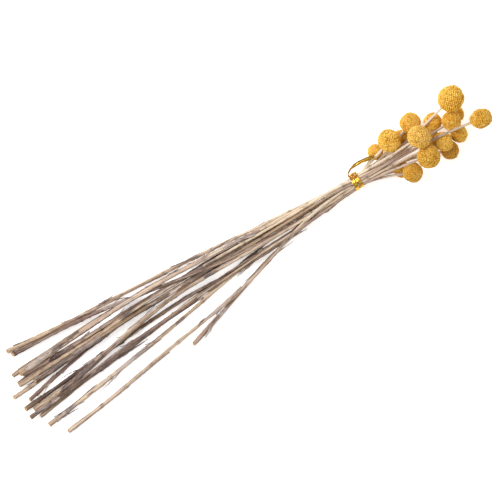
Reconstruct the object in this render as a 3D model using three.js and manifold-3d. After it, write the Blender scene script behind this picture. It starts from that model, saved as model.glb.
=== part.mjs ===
// A tied bunch of dried billy buttons lying on a table: thin stems with what is left of their leaves, a
// round flower head on the tip of each, and a gold twist tie wrapped twice round the stems below the heads.
//
// Millimetres, +Z up. The bunch lies along X with its heads towards +X. It is laid out with X = 0 in the
// middle of the tie and Z = 0 on the table, and the finished group is moved so that its origin is the
// middle of its footprint.

import * as THREE from 'three';
import { ConvexHull } from 'three/addons/math/ConvexHull.js';
import { mergeVertices } from 'three/addons/utils/BufferGeometryUtils.js';
import Module from 'manifold-3d';

// ---------------------------------------------------------------------------------------------------
// Driving dimensions
// ---------------------------------------------------------------------------------------------------

const GAP = 0.35; // room left between pieces that touch

// One row for each stem. head: where the middle of its head lies, x, y and height. radius: the head's
// half width. oval: the head's length along the stem over its width. cut: where the cut end lies, x and y.
// foot: the stem's radius at the cut end. via: places x and y that the stem passes, from the cut end on.
const BUNCH = [
  {
    head: [114.3, 19.6, 33], radius: 12.1, oval: 1.05, cut: [-347.5, -57.5], foot: 2.1,
    via: [[-290, -52], [-200, -37.8], [-132, -27], [-82, -16.5], [-40, -7.5]],
  },
  {
    head: [128.3, -11.4, 40], radius: 9.5, oval: 1.2, cut: [-355, 31.5], foot: 2,
    via: [[-300, 27], [-220, 14.5], [-145, 1.2], [-70, -2]],
  },
  {
    head: [104, 2.4, 22], radius: 9.3, oval: 1, cut: [-350, -1.7], foot: 2,
    via: [[-300, 0.5], [-262, 2.5], [-200, 1]],
  },
  {
    head: [111.7, 5.3, 8], radius: 8.3, oval: 1, cut: [-364, 2.4], foot: 2,
    via: [[-325, 3], [-250, 5], [-150, 4]],
  },
  {
    head: [105.2, -9.5, 10], radius: 8.4, oval: 0.96, cut: [-361.8, -32.7], foot: 1.9,
    via: [[-290, -24], [-200, -14.5], [-110, -9]],
  },
  {
    head: [89.6, -20.5, 9.5], radius: 8.6, oval: 1, cut: [-359.3, -42.9], foot: 2.2,
    via: [[-300, -37], [-200, -23.5], [-130, -14]],
  },
  {
    head: [88.3, -9.6, 23], radius: 9.2, oval: 1, cut: [-363.6, -25], foot: 2.7,
    via: [[-300, -17], [-225, -4], [-150, -2]],
  },
  {
    head: [89.4, 10.5, 8.5], radius: 8.6, oval: 1, cut: [-357.5, 34.4], foot: 2.2,
    via: [[-315, 30.2], [-235, 24], [-120, 15]],
  },
  {
    head: [71.2, 20.5, 27], radius: 9.6, oval: 1.08, cut: [-206.8, -47.9], foot: 2,
    via: [[-157, -35.5], [-110, -18.8], [-60, -8.5]],
  },
  { head: [70.7, 4.2, 42], radius: 10.7, oval: 1, cut: [-358, 11.8], foot: 2.5, via: [] },
  {
    head: [69.5, -14, 28], radius: 11, oval: 1, cut: [-370.4, -27.4], foot: 2.1,
    via: [[-325, -24], [-250, -18], [-150, -13.5], [-80, -9.5]],
  },
  {
    head: [49.6, -18.4, 20], radius: 9.4, oval: 1, cut: [-370.8, -17.4], foot: 2.1,
    via: [[-337, -18], [-290, -13.5], [-200, -9]],
  },
  {
    head: [42.5, -12.6, 7], radius: 7.8, oval: 1, cut: [-362.7, -14.8], foot: 1.8,
    via: [[-325, -7.5], [-290, -1], [-220, 3], [-150, 2]],
  },
  {
    head: [46.2, 16.3, 21], radius: 10.9, oval: 0.98, cut: [-364.5, 12.4], foot: 2.1,
    via: [[-320, 15.3], [-275, 17], [-195, 16], [-120, 10.8]],
  },
  {
    head: [57.5, 12.5, 7.5], radius: 7.9, oval: 1, cut: [-356, 8.3], foot: 2,
    via: [[-292, 7], [-200, 9]],
  },
  {
    head: [29.8, 15.5, 6], radius: 7.6, oval: 1, cut: [-364, 5.7], foot: 1.9,
    via: [[-300, 6], [-200, 7]],
  },
  {
    head: [82.1, -2.4, 9], radius: 7.9, oval: 1, cut: [-374.6, -4.2], foot: 1.9,
    via: [[-352, -3.5], [-290, 3], [-225, 7.5], [-150, 7]],
  },
];
const STEM = {
  tip: 0.95, // radius just below the head
  swell: [0.07, 61], // by what share the stem thickens and thins, and over what length
  sides: 5,
  step: 14, // about how far apart the rings of a stem's surface are
  sunk: 4.5, // how deep the tip sits in the head
};
const WANDER = { size: 1.6, longest: 210, waves: 3 }; // a dried stem's own slight bends
const FLORETS = { count: 60, tip: 0.35, valley: 1.1 }; // a head's florets, and how far its relief goes in
const REST_FLAT = 1.5; // how much of a head that rests on the table is pressed flat
const HOLE = { room: 0.45, sides: 6 }; // the hole in a head round its stem's tip
const TIE = {
  inner: 6.6, // radius that it squeezes the stems into
  height: 12.5, // of the middle of the stems there, above the table
  width: 3.9,
  thickness: 0.7,
  turns: [-1.5, 2.9], // where along the stems the middle of each turn lies
  tilt: 0.35, // how far each turn leans along the stems, in opposite ways
  slack: 0.5, // room between a turn and the stems that stand out furthest
  steps: 22, // flat faces round a turn
};
const KNOT = {
  // The lump where the tie's ends are twisted together, measured from the middle of the tie.
  from: -3.4,
  to: 4.8,
  out: 8.9,
  up: 2.6,
  waver: [0.5, 0.4], // how far it sways, outwards and up
  width: 2.7,
  thickness: 2.1,
  twists: 0.75,
  rows: 8,
};
const TAIL = {
  // The tie's loose end: points along it, measured from the middle of the tie.
  path: [
    [-2.9, 8.5, 3],
    [-2.3, 10, 4.6],
    [-0.9, 11.4, 6.4],
    [1.7, 12.8, 8],
    [4.6, 13.6, 9.2],
    [8.1, 14, 10],
    [12, 14, 10.4],
    [16, 13.5, 10.6],
    [20.8, 12.7, 10.6],
    [26.6, 11.3, 10.2],
  ],
  width: [2.2, 3.8], // at the knot and at the end
  turn: 0.42 * Math.PI, // it stands on its edge at the knot and turns its face up by so much
  rows: 13,
};
const LEAVES = {
  thickness: 0.66,
  root: 0.45, // how deep a blade's foot sits in its stem: a share of the stem's radius
  narrowed: [0.5, 0.2], // a blade's width at its foot and at its tip: shares of its full width
  rowStep: 8, // about how far apart the rows of a blade are
  waves: 1.3, // how many times a large blade waves in its length
  highest: -24, // none grow nearer the tie than this
  loose: {
    // Small remnants all over the stems.
    count: 30,
    length: [14, 40],
    width: [1.8, 3.8],
    lift: [1.2, 4.5], // how far a blade's tip stands off its stem
    drift: 0.7, // the most that a blade creeps round its stem, in radians
    twist: 1.7, // the most that it turns about its own length
    wave: 0.5,
    perStem: 4,
  },
};

// The large remnants. stem: which stem each grows on. from, to: where it starts and ends. side: which side
// of the stem it grows on, in degrees from +Y towards +Z. The rest is as in LEAVES.loose.
const LARGE_LEAVES = [
  { stem: 3, from: -262, to: -344, side: 100, drift: 0.3, width: 5, lift: 0.7, twist: 0.3, wave: 0.3 },
  { stem: 13, from: -291, to: -309, side: 85, drift: 0.4, width: 3.6, lift: 0.8, twist: 0.3, wave: 0.1 },
  { stem: 13, from: -322, to: -352, side: 120, drift: 1.2, width: 3, lift: 4, twist: 2.6, wave: 1 },
  { stem: 13, from: -268, to: -319, side: 20, drift: -0.8, width: 4.4, lift: 3, twist: 0.9, wave: 0.6 },
  { stem: 10, from: -285, to: -310, side: 60, drift: 0.3, width: 4.2, lift: 0.8, twist: 0.4, wave: 0.3 },
  { stem: 12, from: -272, to: -341, side: 100, drift: -0.5, width: 4, lift: 2, twist: 0.9, wave: 1 },
  { stem: 5, from: -240, to: -268, side: 270, drift: 0.5, width: 3.4, lift: 3, twist: 0.8, wave: 0.6 },
  { stem: 6, from: -246, to: -198, side: 80, drift: 0.4, width: 5, lift: 1, twist: 0.5, wave: 0.4 },
  { stem: 9, from: -180, to: -196, side: 130, drift: 0.6, width: 2.6, lift: 3.5, twist: 1.5, wave: 0.3 },
  { stem: 6, from: -108, to: -136, side: 250, drift: 0.3, width: 3.8, lift: 1.6, twist: 0.7, wave: 0.4 },
  { stem: 8, from: -232, to: -252, side: 250, drift: 0.6, width: 2.6, lift: 2.2, twist: 1, wave: 0.4 },
  { stem: 1, from: -214, to: -236, side: 90, drift: 0.5, width: 3.2, lift: 0.8, twist: 0.5, wave: 0.2 },
  { stem: 7, from: -300, to: -328, side: 90, drift: 0.4, width: 4.6, lift: 0.8, twist: 0.4, wave: 0.3 },
  { stem: 7, from: -226, to: -272, side: 90, drift: 0.4, width: 4.6, lift: 1.2, twist: 0.7, wave: 0.6 },
  { stem: 11, from: -296, to: -348, side: 80, drift: 0.4, width: 4.2, lift: 1.6, twist: 0.9, wave: 0.6 },
  { stem: 12, from: -206, to: -252, side: 90, drift: 0.5, width: 4, lift: 1.4, twist: 0.9, wave: 0.5 },
  { stem: 14, from: -286, to: -334, side: 80, drift: 0.5, width: 4.2, lift: 1.4, twist: 0.8, wave: 0.6 },
  { stem: 16, from: -222, to: -262, side: 90, drift: 0.4, width: 3.8, lift: 1.2, twist: 0.8, wave: 0.5 },
  { stem: 10, from: -200, to: -246, side: 75, drift: 0.4, width: 4.4, lift: 1.2, twist: 0.6, wave: 0.5 },
  { stem: 3, from: -186, to: -232, side: 90, drift: 0.4, width: 4, lift: 1, twist: 0.6, wave: 0.4 },
  { stem: 11, from: -150, to: -182, side: 80, drift: 0.5, width: 3.4, lift: 1.4, twist: 0.9, wave: 0.4 },
];

// ---------------------------------------------------------------------------------------------------
// Small helpers
// ---------------------------------------------------------------------------------------------------

const wasm = await Module();
wasm.setup();

/** A repeatable source of even draws from 0 to 1. */
function drawsFrom(seed) {
  let state = seed >>> 0;
  return () => {
    state = (state + 0x6d2b79f5) >>> 0;
    let t = Math.imul(state ^ (state >>> 15), state | 1);
    t ^= t + Math.imul(t ^ (t >>> 7), t | 61);
    return ((t ^ (t >>> 14)) >>> 0) / 4294967296;
  };
}

const between = (draw, [low, high]) => low + (high - low) * draw();

/** A geometry from corner points and triangles of their numbers. */
function geometryOf(points, triangles) {
  const geometry = new THREE.BufferGeometry();
  geometry.setAttribute('position', new THREE.Float32BufferAttribute(points.flat(), 3));
  geometry.setIndex(triangles.flat());
  return geometry;
}

/** The solid inside a closed geometry. */
function solidOf(geometry) {
  const bare = geometry.clone();
  bare.deleteAttribute('normal');
  bare.deleteAttribute('uv');
  const merged = mergeVertices(bare, 1e-4);
  return new wasm.Manifold(
    new wasm.Mesh({
      numProp: 3,
      vertProperties: new Float32Array(merged.attributes.position.array),
      triVerts: new Uint32Array(merged.index.array),
    }),
  );
}

/** The geometry of a solid's surface. */
function geometryFrom(solid) {
  const mesh = solid.getMesh();
  const geometry = new THREE.BufferGeometry();
  geometry.setAttribute('position', new THREE.BufferAttribute(new Float32Array(mesh.vertProperties), 3));
  geometry.setIndex(Array.from(mesh.triVerts));
  return geometry;
}

/** One geometry of several that overlap. */
function fused(geometries) {
  return geometryFrom(geometries.map(solidOf).reduce((whole, piece) => whole.add(piece)));
}

/** Triangles that join rings of equal count into a closed tube, facing out where the rings turn left. */
function tubeTriangles(rings, sides) {
  const triangles = [];
  for (let ring = 0; ring < rings - 1; ring += 1) {
    for (let side = 0; side < sides; side += 1) {
      const a = ring * sides + side;
      const b = ring * sides + ((side + 1) % sides);
      triangles.push([a, b, b + sides], [a, b + sides, a + sides]);
    }
  }
  const last = (rings - 1) * sides;
  for (let side = 1; side < sides - 1; side += 1) {
    triangles.push([0, side + 1, side], [last, last + side, last + side + 1]);
  }
  return triangles;
}

// ---------------------------------------------------------------------------------------------------
// Laying the stems: each is a springy rod, kept at stations along X, that is pulled to where its head and
// its cut end lie, squeezed by the tie, held up by the table and pushed clear of the others.
// ---------------------------------------------------------------------------------------------------

const LAYING = {
  station: 4, // mm between stations
  rounds: 1000, // of settling, with everything that pulls
  stiffness: 60,
  tidyRounds: 240, // after them, with contacts only, each rod keeping its settled shape
  tidyStiffness: 0.4,
  tidyHold: 0.2,
  clear: GAP + 0.2, // rods are laid a little further apart than the finished pieces, which are faceted
  near: 6, // rods further apart than this, sideways or in height, don't touch
  tieStart: 45, // the tie closes from this radius
  tieReach: 6, // the tie holds the stations up to here on either side of its middle
  stack: [3.2, 13], // height from rod to rod before they are let down, at the cut ends and at the heads
  hold: 0.004, // how strongly a station keeps its place from round to round, and how far it falls
  fall: [2, 0.9], // mm a station falls in the first round and in the last
  pace: 0.5, // mm that a stem is drawn towards a via place in a round, at most
};
// How strongly each thing pulls at a stem.
const PULL = { head: 1, headHeight: 0.15, cut: 0.5, via: 1, contact: 2, table: 3 };

/** The height y of a smooth line through points x, y, at any x: cubics with the mean slopes at the points. */
function smoothLine(points) {
  const slopes = points.map((point, k) => {
    const before = points[Math.max(k - 1, 0)];
    const after = points[Math.min(k + 1, points.length - 1)];
    return (after[1] - before[1]) / (after[0] - before[0]);
  });
  return (x) => {
    const past = points.findIndex((point) => point[0] > x);
    const k = (past < 0 ? points.length - 1 : Math.max(past, 1)) - 1;
    const [[startX, startY], [endX, endY]] = [points[k], points[k + 1]];
    const span = endX - startX;
    const t = THREE.MathUtils.clamp((x - startX) / span, 0, 1);
    const rise = endY - startY;
    const bulge = (slopes[k] * span - rise) * (1 - t) - (slopes[k + 1] * span - rise) * t;
    return startY + rise * t + bulge * t * (1 - t);
  };
}

/** The bend that a stem has of its own, sideways and up, in mm at the place x. */
function wanderOf(draw) {
  const waves = [];
  for (let wave = 1; wave <= WANDER.waves; wave += 1) {
    waves.push({
      size: (WANDER.size * (0.4 + 0.6 * draw())) / wave,
      pitch: (2 * Math.PI * wave) / (WANDER.longest * (0.8 + 0.4 * draw())),
      sidewaysPhase: 2 * Math.PI * draw(),
      upPhase: 2 * Math.PI * draw(),
    });
  }
  return (x) => {
    const bend = [0, 0];
    for (const { size, pitch, sidewaysPhase, upPhase } of waves) {
      bend[0] += size * Math.sin(pitch * x + sidewaysPhase);
      bend[1] += 0.5 * size * Math.sin(pitch * x + upPhase);
    }
    return bend;
  };
}

/** A rod from the cut end past its via places to the head, lifted to its own height in the stack. */
function makeRod(row, rank, draw) {
  const first = Math.floor(row.cut[0] / LAYING.station);
  const last = Math.ceil(row.head[0] / LAYING.station);
  const wander = wanderOf(draw);
  const route = smoothLine([row.cut, ...row.via, row.head]);
  const rod = { row, first, last, y: [], z: [], ownY: [], ownZ: [] };
  rod.radiusAt = (x) => {
    const along = THREE.MathUtils.clamp((x - row.cut[0]) / (row.head[0] - row.cut[0]), 0, 1);
    const [size, pitch] = STEM.swell;
    const swell = 1 + size * Math.sin((2 * Math.PI * x) / pitch + row.cut[1]);
    return swell * THREE.MathUtils.lerp(row.foot, STEM.tip, Math.pow(along, 0.7));
  };
  rod.reach = row.radius * Math.max(1, row.oval ** (2 / 3));
  for (let k = first; k <= last; k += 1) {
    const x = k * LAYING.station;
    const along = (x - row.cut[0]) / (row.head[0] - row.cut[0]);
    const [sideways, up] = wander(x);
    rod.ownY.push(sideways + route(x));
    rod.ownZ.push(up);
    rod.y.push(route(x));
    rod.z.push(rank * THREE.MathUtils.lerp(...LAYING.stack, along) + row.radius * along);
  }
  return rod;
}

const JUST_OVER_ONE = 1.000001; // so that there is always a next one

/** Which of the rod's stations is at the place x, as a number with a fraction. */
function stationOf(rod, x) {
  return THREE.MathUtils.clamp(x / LAYING.station - rod.first, 0, rod.y.length - JUST_OVER_ONE);
}

/** Where the rod is at the place x, from the straight line between its two nearest stations. */
function pointAt(rod, x) {
  const place = stationOf(rod, x);
  const k = Math.floor(place);
  const t = place - k;
  return [
    x,
    rod.y[k] * (1 - t) + rod.y[k + 1] * t,
    rod.z[k] * (1 - t) + rod.z[k + 1] * t,
  ];
}

/**
 * The rod bends to the wished places as far as its stiffness lets it: it is the curve u with the least
 * sum of weight (u - wish)^2 + stiffness (second difference of u)^2, found by one banded solve.
 */
function bend(wish, weight, stiffness) {
  const n = wish.length;
  const diagonal = Array.from(weight);
  const next = new Array(n).fill(0);
  const afterNext = new Array(n).fill(0);
  for (let k = 1; k < n - 1; k += 1) {
    diagonal[k - 1] += stiffness;
    diagonal[k] += 4 * stiffness;
    diagonal[k + 1] += stiffness;
    next[k - 1] -= 2 * stiffness;
    next[k] -= 2 * stiffness;
    afterNext[k - 1] += stiffness;
  }
  const result = wish.map((value, k) => value * weight[k]);
  const pivot = new Array(n);
  const lower1 = new Array(n).fill(0);
  const lower2 = new Array(n).fill(0);
  for (let k = 0; k < n; k += 1) {
    const [p1, p2] = [k > 0 ? pivot[k - 1] : 0, k > 1 ? pivot[k - 2] : 0];
    const [a1, a2] = [k > 0 ? lower1[k - 1] : 0, k > 1 ? lower2[k - 2] : 0];
    const skipped = k > 0 ? lower2[k - 1] : 0;
    pivot[k] = diagonal[k] - p1 * a1 * a1 - p2 * a2 * a2;
    lower1[k] = (next[k] - p1 * a1 * skipped) / pivot[k];
    lower2[k] = afterNext[k] / pivot[k];
    result[k] -= (k > 0 ? a1 * result[k - 1] : 0) + (k > 1 ? a2 * result[k - 2] : 0);
  }
  for (let k = n - 1; k >= 0; k -= 1) {
    result[k] /= pivot[k];
    if (k < n - 1) result[k] -= lower1[k] * result[k + 1];
    if (k < n - 2) result[k] -= lower2[k] * result[k + 2];
  }
  return result;
}

/** Everything that pushes on the rods in one round, gathered as weighted wishes for each station. */
class Wishes {
  constructor(rods, hold, fall) {
    this.rods = rods;
    this.rows = rods.map((rod) => ({
      y: { sums: rod.y.map((value) => value * hold), weights: rod.y.map(() => hold) },
      z: { sums: rod.z.map((value) => (value - fall) * hold), weights: rod.z.map(() => hold) },
    }));
  }

  /** The rod should move by distance along y or z at the place x. */
  moveOneWay(index, x, way, distance, weight) {
    const rod = this.rods[index];
    const { sums, weights } = this.rows[index][way];
    const place = stationOf(rod, x);
    const k = Math.floor(place);
    const t = place - k;
    for (const [station, share] of [[k, 1 - t], [k + 1, t]]) {
      sums[station] += weight * share * (rod[way][station] + distance);
      weights[station] += weight * share;
    }
  }

  /** The rod should move by (dy, dz) at the place x. */
  move(index, x, dy, dz, weight) {
    this.moveOneWay(index, x, 'y', dy, weight);
    this.moveOneWay(index, x, 'z', dz, weight);
  }

  /** The rods bend to their wishes, as far as their stiffness lets them; own is a rod's own bend. */
  bendRods(stiffness, keepsOwn) {
    this.rods.forEach((rod, index) => {
      for (const [way, own] of [['y', rod.ownY], ['z', rod.ownZ]]) {
        const { sums, weights } = this.rows[index][way];
        const bent = sums.map((value, k) => value / weights[k] - (keepsOwn ? own[k] : 0));
        rod[way] = bend(bent, weights, stiffness).map((value, k) => value + (keepsOwn ? own[k] : 0));
      }
    });
  }
}

/** Rods a and b, whose points are nearer each other across X than apart, move away from each other. */
function separate(wishes, a, pointA, b, pointB, apart, weight) {
  const dy = pointB[1] - pointA[1];
  const dz = pointB[2] - pointA[2];
  const distance = Math.hypot(dy, dz) || 1e-6;
  if (distance >= apart) return;
  const push = (0.5 * (apart - distance)) / distance;
  wishes.move(a, pointA[0], -push * dy, -push * dz, weight);
  wishes.move(b, pointB[0], push * dy, push * dz, weight);
}

/** Rods that pass each other at a station move apart, by more where they lean towards each other. */
function pushRodsApart(wishes, rods, weight) {
  const low = Math.min(...rods.map((rod) => rod.first));
  const high = Math.max(...rods.map((rod) => rod.last));
  for (let k = low; k <= high; k += 1) {
    const x = k * LAYING.station;
    const here = rods.map((rod, index) => index).filter((i) => rods[i].first <= k && k <= rods[i].last);
    const points = new Map(here.map((i) => [i, pointAt(rods[i], x)]));
    const nexts = new Map(here.map((i) => [i, pointAt(rods[i], x + 1)]));
    here.forEach((a, order) => {
      for (const b of here.slice(order + 1)) {
        const [pa, pb] = [points.get(a), points.get(b)];
        const [dy, dz] = [pb[1] - pa[1], pb[2] - pa[2]];
        if (Math.abs(dy) > LAYING.near || Math.abs(dz) > LAYING.near) continue;
        const slopeY = 0.5 * (nexts.get(a)[1] + nexts.get(b)[1] - pa[1] - pb[1]);
        const slopeZ = 0.5 * (nexts.get(a)[2] + nexts.get(b)[2] - pa[2] - pb[2]);
        const slope = (slopeY * dy + slopeZ * dz) / (Math.hypot(dy, dz) || 1);
        const apart = (rods[a].radiusAt(x) + rods[b].radiusAt(x) + LAYING.clear) * Math.hypot(1, slope);
        separate(wishes, a, pa, b, pb, apart, weight);
      }
    });
  }
}

/** Heads move away from each other and from the stems that pass them. */
function pushHeadsApart(wishes, rods, weight) {
  const across = (apart, pointA, pointB) => Math.sqrt(Math.max(apart ** 2 - (pointA[0] - pointB[0]) ** 2, 0));
  rods.forEach((rodA, a) => {
    const centre = pointAt(rodA, rodA.row.head[0]);
    rods.forEach((rodB, b) => {
      if (a === b) return;
      if (a < b) {
        const other = pointAt(rodB, rodB.row.head[0]);
        const apart = rodA.reach + rodB.reach + LAYING.clear;
        separate(wishes, a, centre, b, other, across(apart, centre, other), weight);
      }
      const reach = rodA.reach + rodB.radiusAt(centre[0]) + LAYING.clear;
      for (let x = centre[0] - reach; x <= centre[0] + reach; x += 0.5 * LAYING.station) {
        if (x >= rodB.row.head[0] - rodB.reach || x < rodB.row.cut[0]) continue;
        const passing = pointAt(rodB, x);
        separate(wishes, a, centre, b, passing, across(reach, centre, passing), weight);
      }
    });
  });
}

/** Where the tie is, no rod reaches further from its middle than the tie's radius. */
function squeeze(wishes, rods, tieRadius, weight) {
  rods.forEach((rod, index) => {
    for (let x = -LAYING.tieReach; x <= LAYING.tieReach; x += 0.5 * LAYING.station) {
      const [, y, z] = pointAt(rod, x);
      const up = z - TIE.height;
      const room = tieRadius - rod.radiusAt(x);
      const out = Math.hypot(y, up);
      if (out > room) wishes.move(index, x, (y * room) / out - y, (up * room) / out - up, weight);
    }
  });
}

/** The table holds up stems and heads. */
function holdUp(wishes, rods, weight) {
  rods.forEach((rod, index) => {
    rod.z.forEach((z, k) => {
      const x = (rod.first + k) * LAYING.station;
      const lowest = rod.radiusAt(x);
      if (z < lowest) wishes.move(index, x, 0, lowest - z, weight);
    });
    const centre = pointAt(rod, rod.row.head[0]);
    const lowest = rod.row.radius - REST_FLAT;
    if (centre[2] < lowest) wishes.move(index, centre[0], 0, lowest - centre[2], weight);
  });
}

/** Lets the stack of rods down into its pile while the tie closes, and returns the settled rods. */
function layStems() {
  const draw = drawsFrom(20);
  const byHeight = BUNCH.map((row, index) => index).sort((a, b) => BUNCH[a].head[2] - BUNCH[b].head[2]);
  const rods = BUNCH.map((row, index) => makeRod(row, byHeight.indexOf(index), draw));
  for (let round = 0; round < LAYING.rounds; round += 1) {
    const progress = round / LAYING.rounds;
    const closing = THREE.MathUtils.smoothstep(progress, 0.05, 0.6);
    const tieRadius = THREE.MathUtils.lerp(LAYING.tieStart, TIE.inner, closing);
    const fall = THREE.MathUtils.lerp(...LAYING.fall, 1 - (1 - progress) ** 2);
    const wishes = new Wishes(rods, LAYING.hold, fall);
    rods.forEach((rod, index) => {
      const { head, cut, foot, via } = rod.row;
      const centre = pointAt(rod, head[0]);
      const end = pointAt(rod, cut[0]);
      const [rise, sink] = [0.2 * (head[2] - centre[2]), 0.3 * (foot - end[2])]; // a part of the way
      wishes.move(index, head[0], head[1] - centre[1], 0, PULL.head);
      wishes.move(index, head[0], 0, rise, PULL.headHeight);
      wishes.move(index, cut[0], cut[1] - end[1], sink, PULL.cut);
      for (const [x, y] of via) {
        const aside = THREE.MathUtils.clamp(y - pointAt(rod, x)[1], -LAYING.pace, LAYING.pace);
        wishes.moveOneWay(index, x, 'y', aside, PULL.via);
      }
    });
    pushRodsApart(wishes, rods, PULL.contact);
    pushHeadsApart(wishes, rods, PULL.contact);
    squeeze(wishes, rods, tieRadius, PULL.contact);
    holdUp(wishes, rods, PULL.table);
    wishes.bendRods(LAYING.stiffness, true);
  }
  for (let round = 0; round < LAYING.tidyRounds; round += 1) {
    const wishes = new Wishes(rods, LAYING.tidyHold, 0);
    pushRodsApart(wishes, rods, 1);
    pushHeadsApart(wishes, rods, 1);
    squeeze(wishes, rods, TIE.inner, 1);
    holdUp(wishes, rods, 1);
    wishes.bendRods(LAYING.tidyStiffness, false);
  }
  return rods;
}

// ---------------------------------------------------------------------------------------------------
// Stems
// ---------------------------------------------------------------------------------------------------

/** The middles of a stem's rings, evenly spaced in X from the cut end to the tip in the head. */
function ringMiddles(rod) {
  const { cut, head } = rod.row;
  const near = pointAt(rod, head[0] - STEM.step);
  const centre = pointAt(rod, head[0]);
  const axis = new THREE.Vector3(...centre).sub(new THREE.Vector3(...near)).normalize();
  const tip = head[0] - axis.x * (rod.reach - STEM.sunk);
  const steps = Math.round((tip - cut[0]) / STEM.step);
  return Array.from({ length: steps + 1 }, (_, k) => {
    const x = THREE.MathUtils.lerp(cut[0], tip, k / steps);
    return pointAt(rod, x);
  });
}

/** Where the middle of the stem's faceted surface is at the place x. */
function axisAt({ rings }, x) {
  const step = rings[1][0] - rings[0][0];
  const place = THREE.MathUtils.clamp((x - rings[0][0]) / step, 0, rings.length - JUST_OVER_ONE);
  const k = Math.floor(place);
  return new THREE.Vector3(...rings[k]).lerp(new THREE.Vector3(...rings[k + 1]), place - k).setX(x);
}

/** A five-sided tube whose rings lie in YZ planes: a ring square to the stem, slid along it to its plane. */
function stemGeometry(rod) {
  const { rings } = rod;
  const points = [];
  rings.forEach((middle, k) => {
    const before = new THREE.Vector3(...rings[Math.max(k - 1, 0)]);
    const after = new THREE.Vector3(...rings[Math.min(k + 1, rings.length - 1)]);
    const along = after.sub(before).normalize();
    const up = new THREE.Vector3(0, 0, 1).addScaledVector(along, -along.z).normalize();
    const side = new THREE.Vector3().crossVectors(up, along);
    const radius = rod.radiusAt(middle[0]);
    for (let corner = 0; corner < STEM.sides; corner += 1) {
      const angle = (2 * Math.PI * corner) / STEM.sides;
      const spoke = new THREE.Vector3()
        .addScaledVector(side, radius * Math.cos(angle))
        .addScaledVector(up, radius * Math.sin(angle));
      spoke.addScaledVector(along, -spoke.x / along.x);
      points.push([middle[0], middle[1] + spoke.y, middle[2] + spoke.z]);
    }
  });
  return geometryOf(points, tubeTriangles(rings.length, STEM.sides));
}

// ---------------------------------------------------------------------------------------------------
// Heads
// ---------------------------------------------------------------------------------------------------

/** Points spread evenly over a unit sphere in a spiral from pole to pole. */
function spiralPoints(count, turn) {
  const golden = Math.PI * (3 - Math.sqrt(5));
  return Array.from({ length: count }, (_, k) => {
    const height = 1 - (2 * k + 1) / count;
    const ring = Math.sqrt(1 - height * height);
    return new THREE.Vector3(height, ring * Math.cos(golden * k + turn), ring * Math.sin(golden * k + turn));
  });
}

/** The triangles of the convex hull of points, as numbers into points, facing out. */
function hullTriangles(points) {
  const numbers = new Map(points.map((point, index) => [point, index]));
  return new ConvexHull().setFromPoints(points).faces.map((face) => {
    const corners = [];
    let edge = face.edge;
    do {
      corners.push(numbers.get(edge.head().point));
      edge = edge.next;
    } while (edge !== face.edge);
    return corners;
  });
}

/** A ball covered with florets: each is a low pyramid whose corners are the valleys round it. */
function floretBall(turn) {
  const tips = spiralPoints(FLORETS.count, turn);
  const valleys = hullTriangles(tips).map((corners) => {
    const middle = new THREE.Vector3();
    corners.forEach((corner) => middle.add(tips[corner]));
    return middle.normalize();
  });
  const points = [...tips, ...valleys];
  return { points, triangles: hullTriangles(points), tips: tips.length };
}

/** The head's solid, with the hole that its stem's tip sits in and, near the table, its pressed flat. */
function headGeometry(rod, draw) {
  const { radius, oval } = rod.row;
  const [along, across] = [radius * oval ** (2 / 3), radius * oval ** (-1 / 3)];
  const tip = new THREE.Vector3(...rod.rings.at(-1));
  const axis = tip.clone().sub(new THREE.Vector3(...rod.rings.at(-2))).normalize();
  const centre = tip.clone().addScaledVector(axis, along - STEM.sunk);
  const turned = new THREE.Quaternion().setFromUnitVectors(new THREE.Vector3(1, 0, 0), axis);
  const { points, triangles, tips } = floretBall(2 * Math.PI * draw());
  const corners = points.map((point, index) => {
    const inward = index < tips ? FLORETS.tip * draw() : FLORETS.valley;
    const size = new THREE.Vector3(along - inward, across - inward, across - inward);
    return point.clone().multiply(size).applyQuaternion(turned).add(centre).toArray();
  });
  let solid = solidOf(geometryOf(corners, triangles));

  const stemRadius = rod.radiusAt(tip.x);
  const lean = Math.hypot(axis.y, axis.z) / axis.x;
  const bottom = GAP + stemRadius * lean;
  const holeRadius = stemRadius + HOLE.room;
  const hole = new THREE.CylinderGeometry(holeRadius, holeRadius, 2 * along, HOLE.sides);
  hole.translate(0, bottom - along, 0);
  hole.applyQuaternion(new THREE.Quaternion().setFromUnitVectors(new THREE.Vector3(0, 1, 0), axis));
  hole.translate(...tip.toArray());
  solid = solid.subtract(solidOf(hole));

  const table = new THREE.BoxGeometry(4 * radius, 4 * radius, 2 * radius);
  table.translate(centre.x, centre.y, -radius);
  solid = solid.subtract(solidOf(table));
  return geometryFrom(solid);
}

// ---------------------------------------------------------------------------------------------------
// Strips: the leaves' blades and the tie's loose end
// ---------------------------------------------------------------------------------------------------

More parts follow.
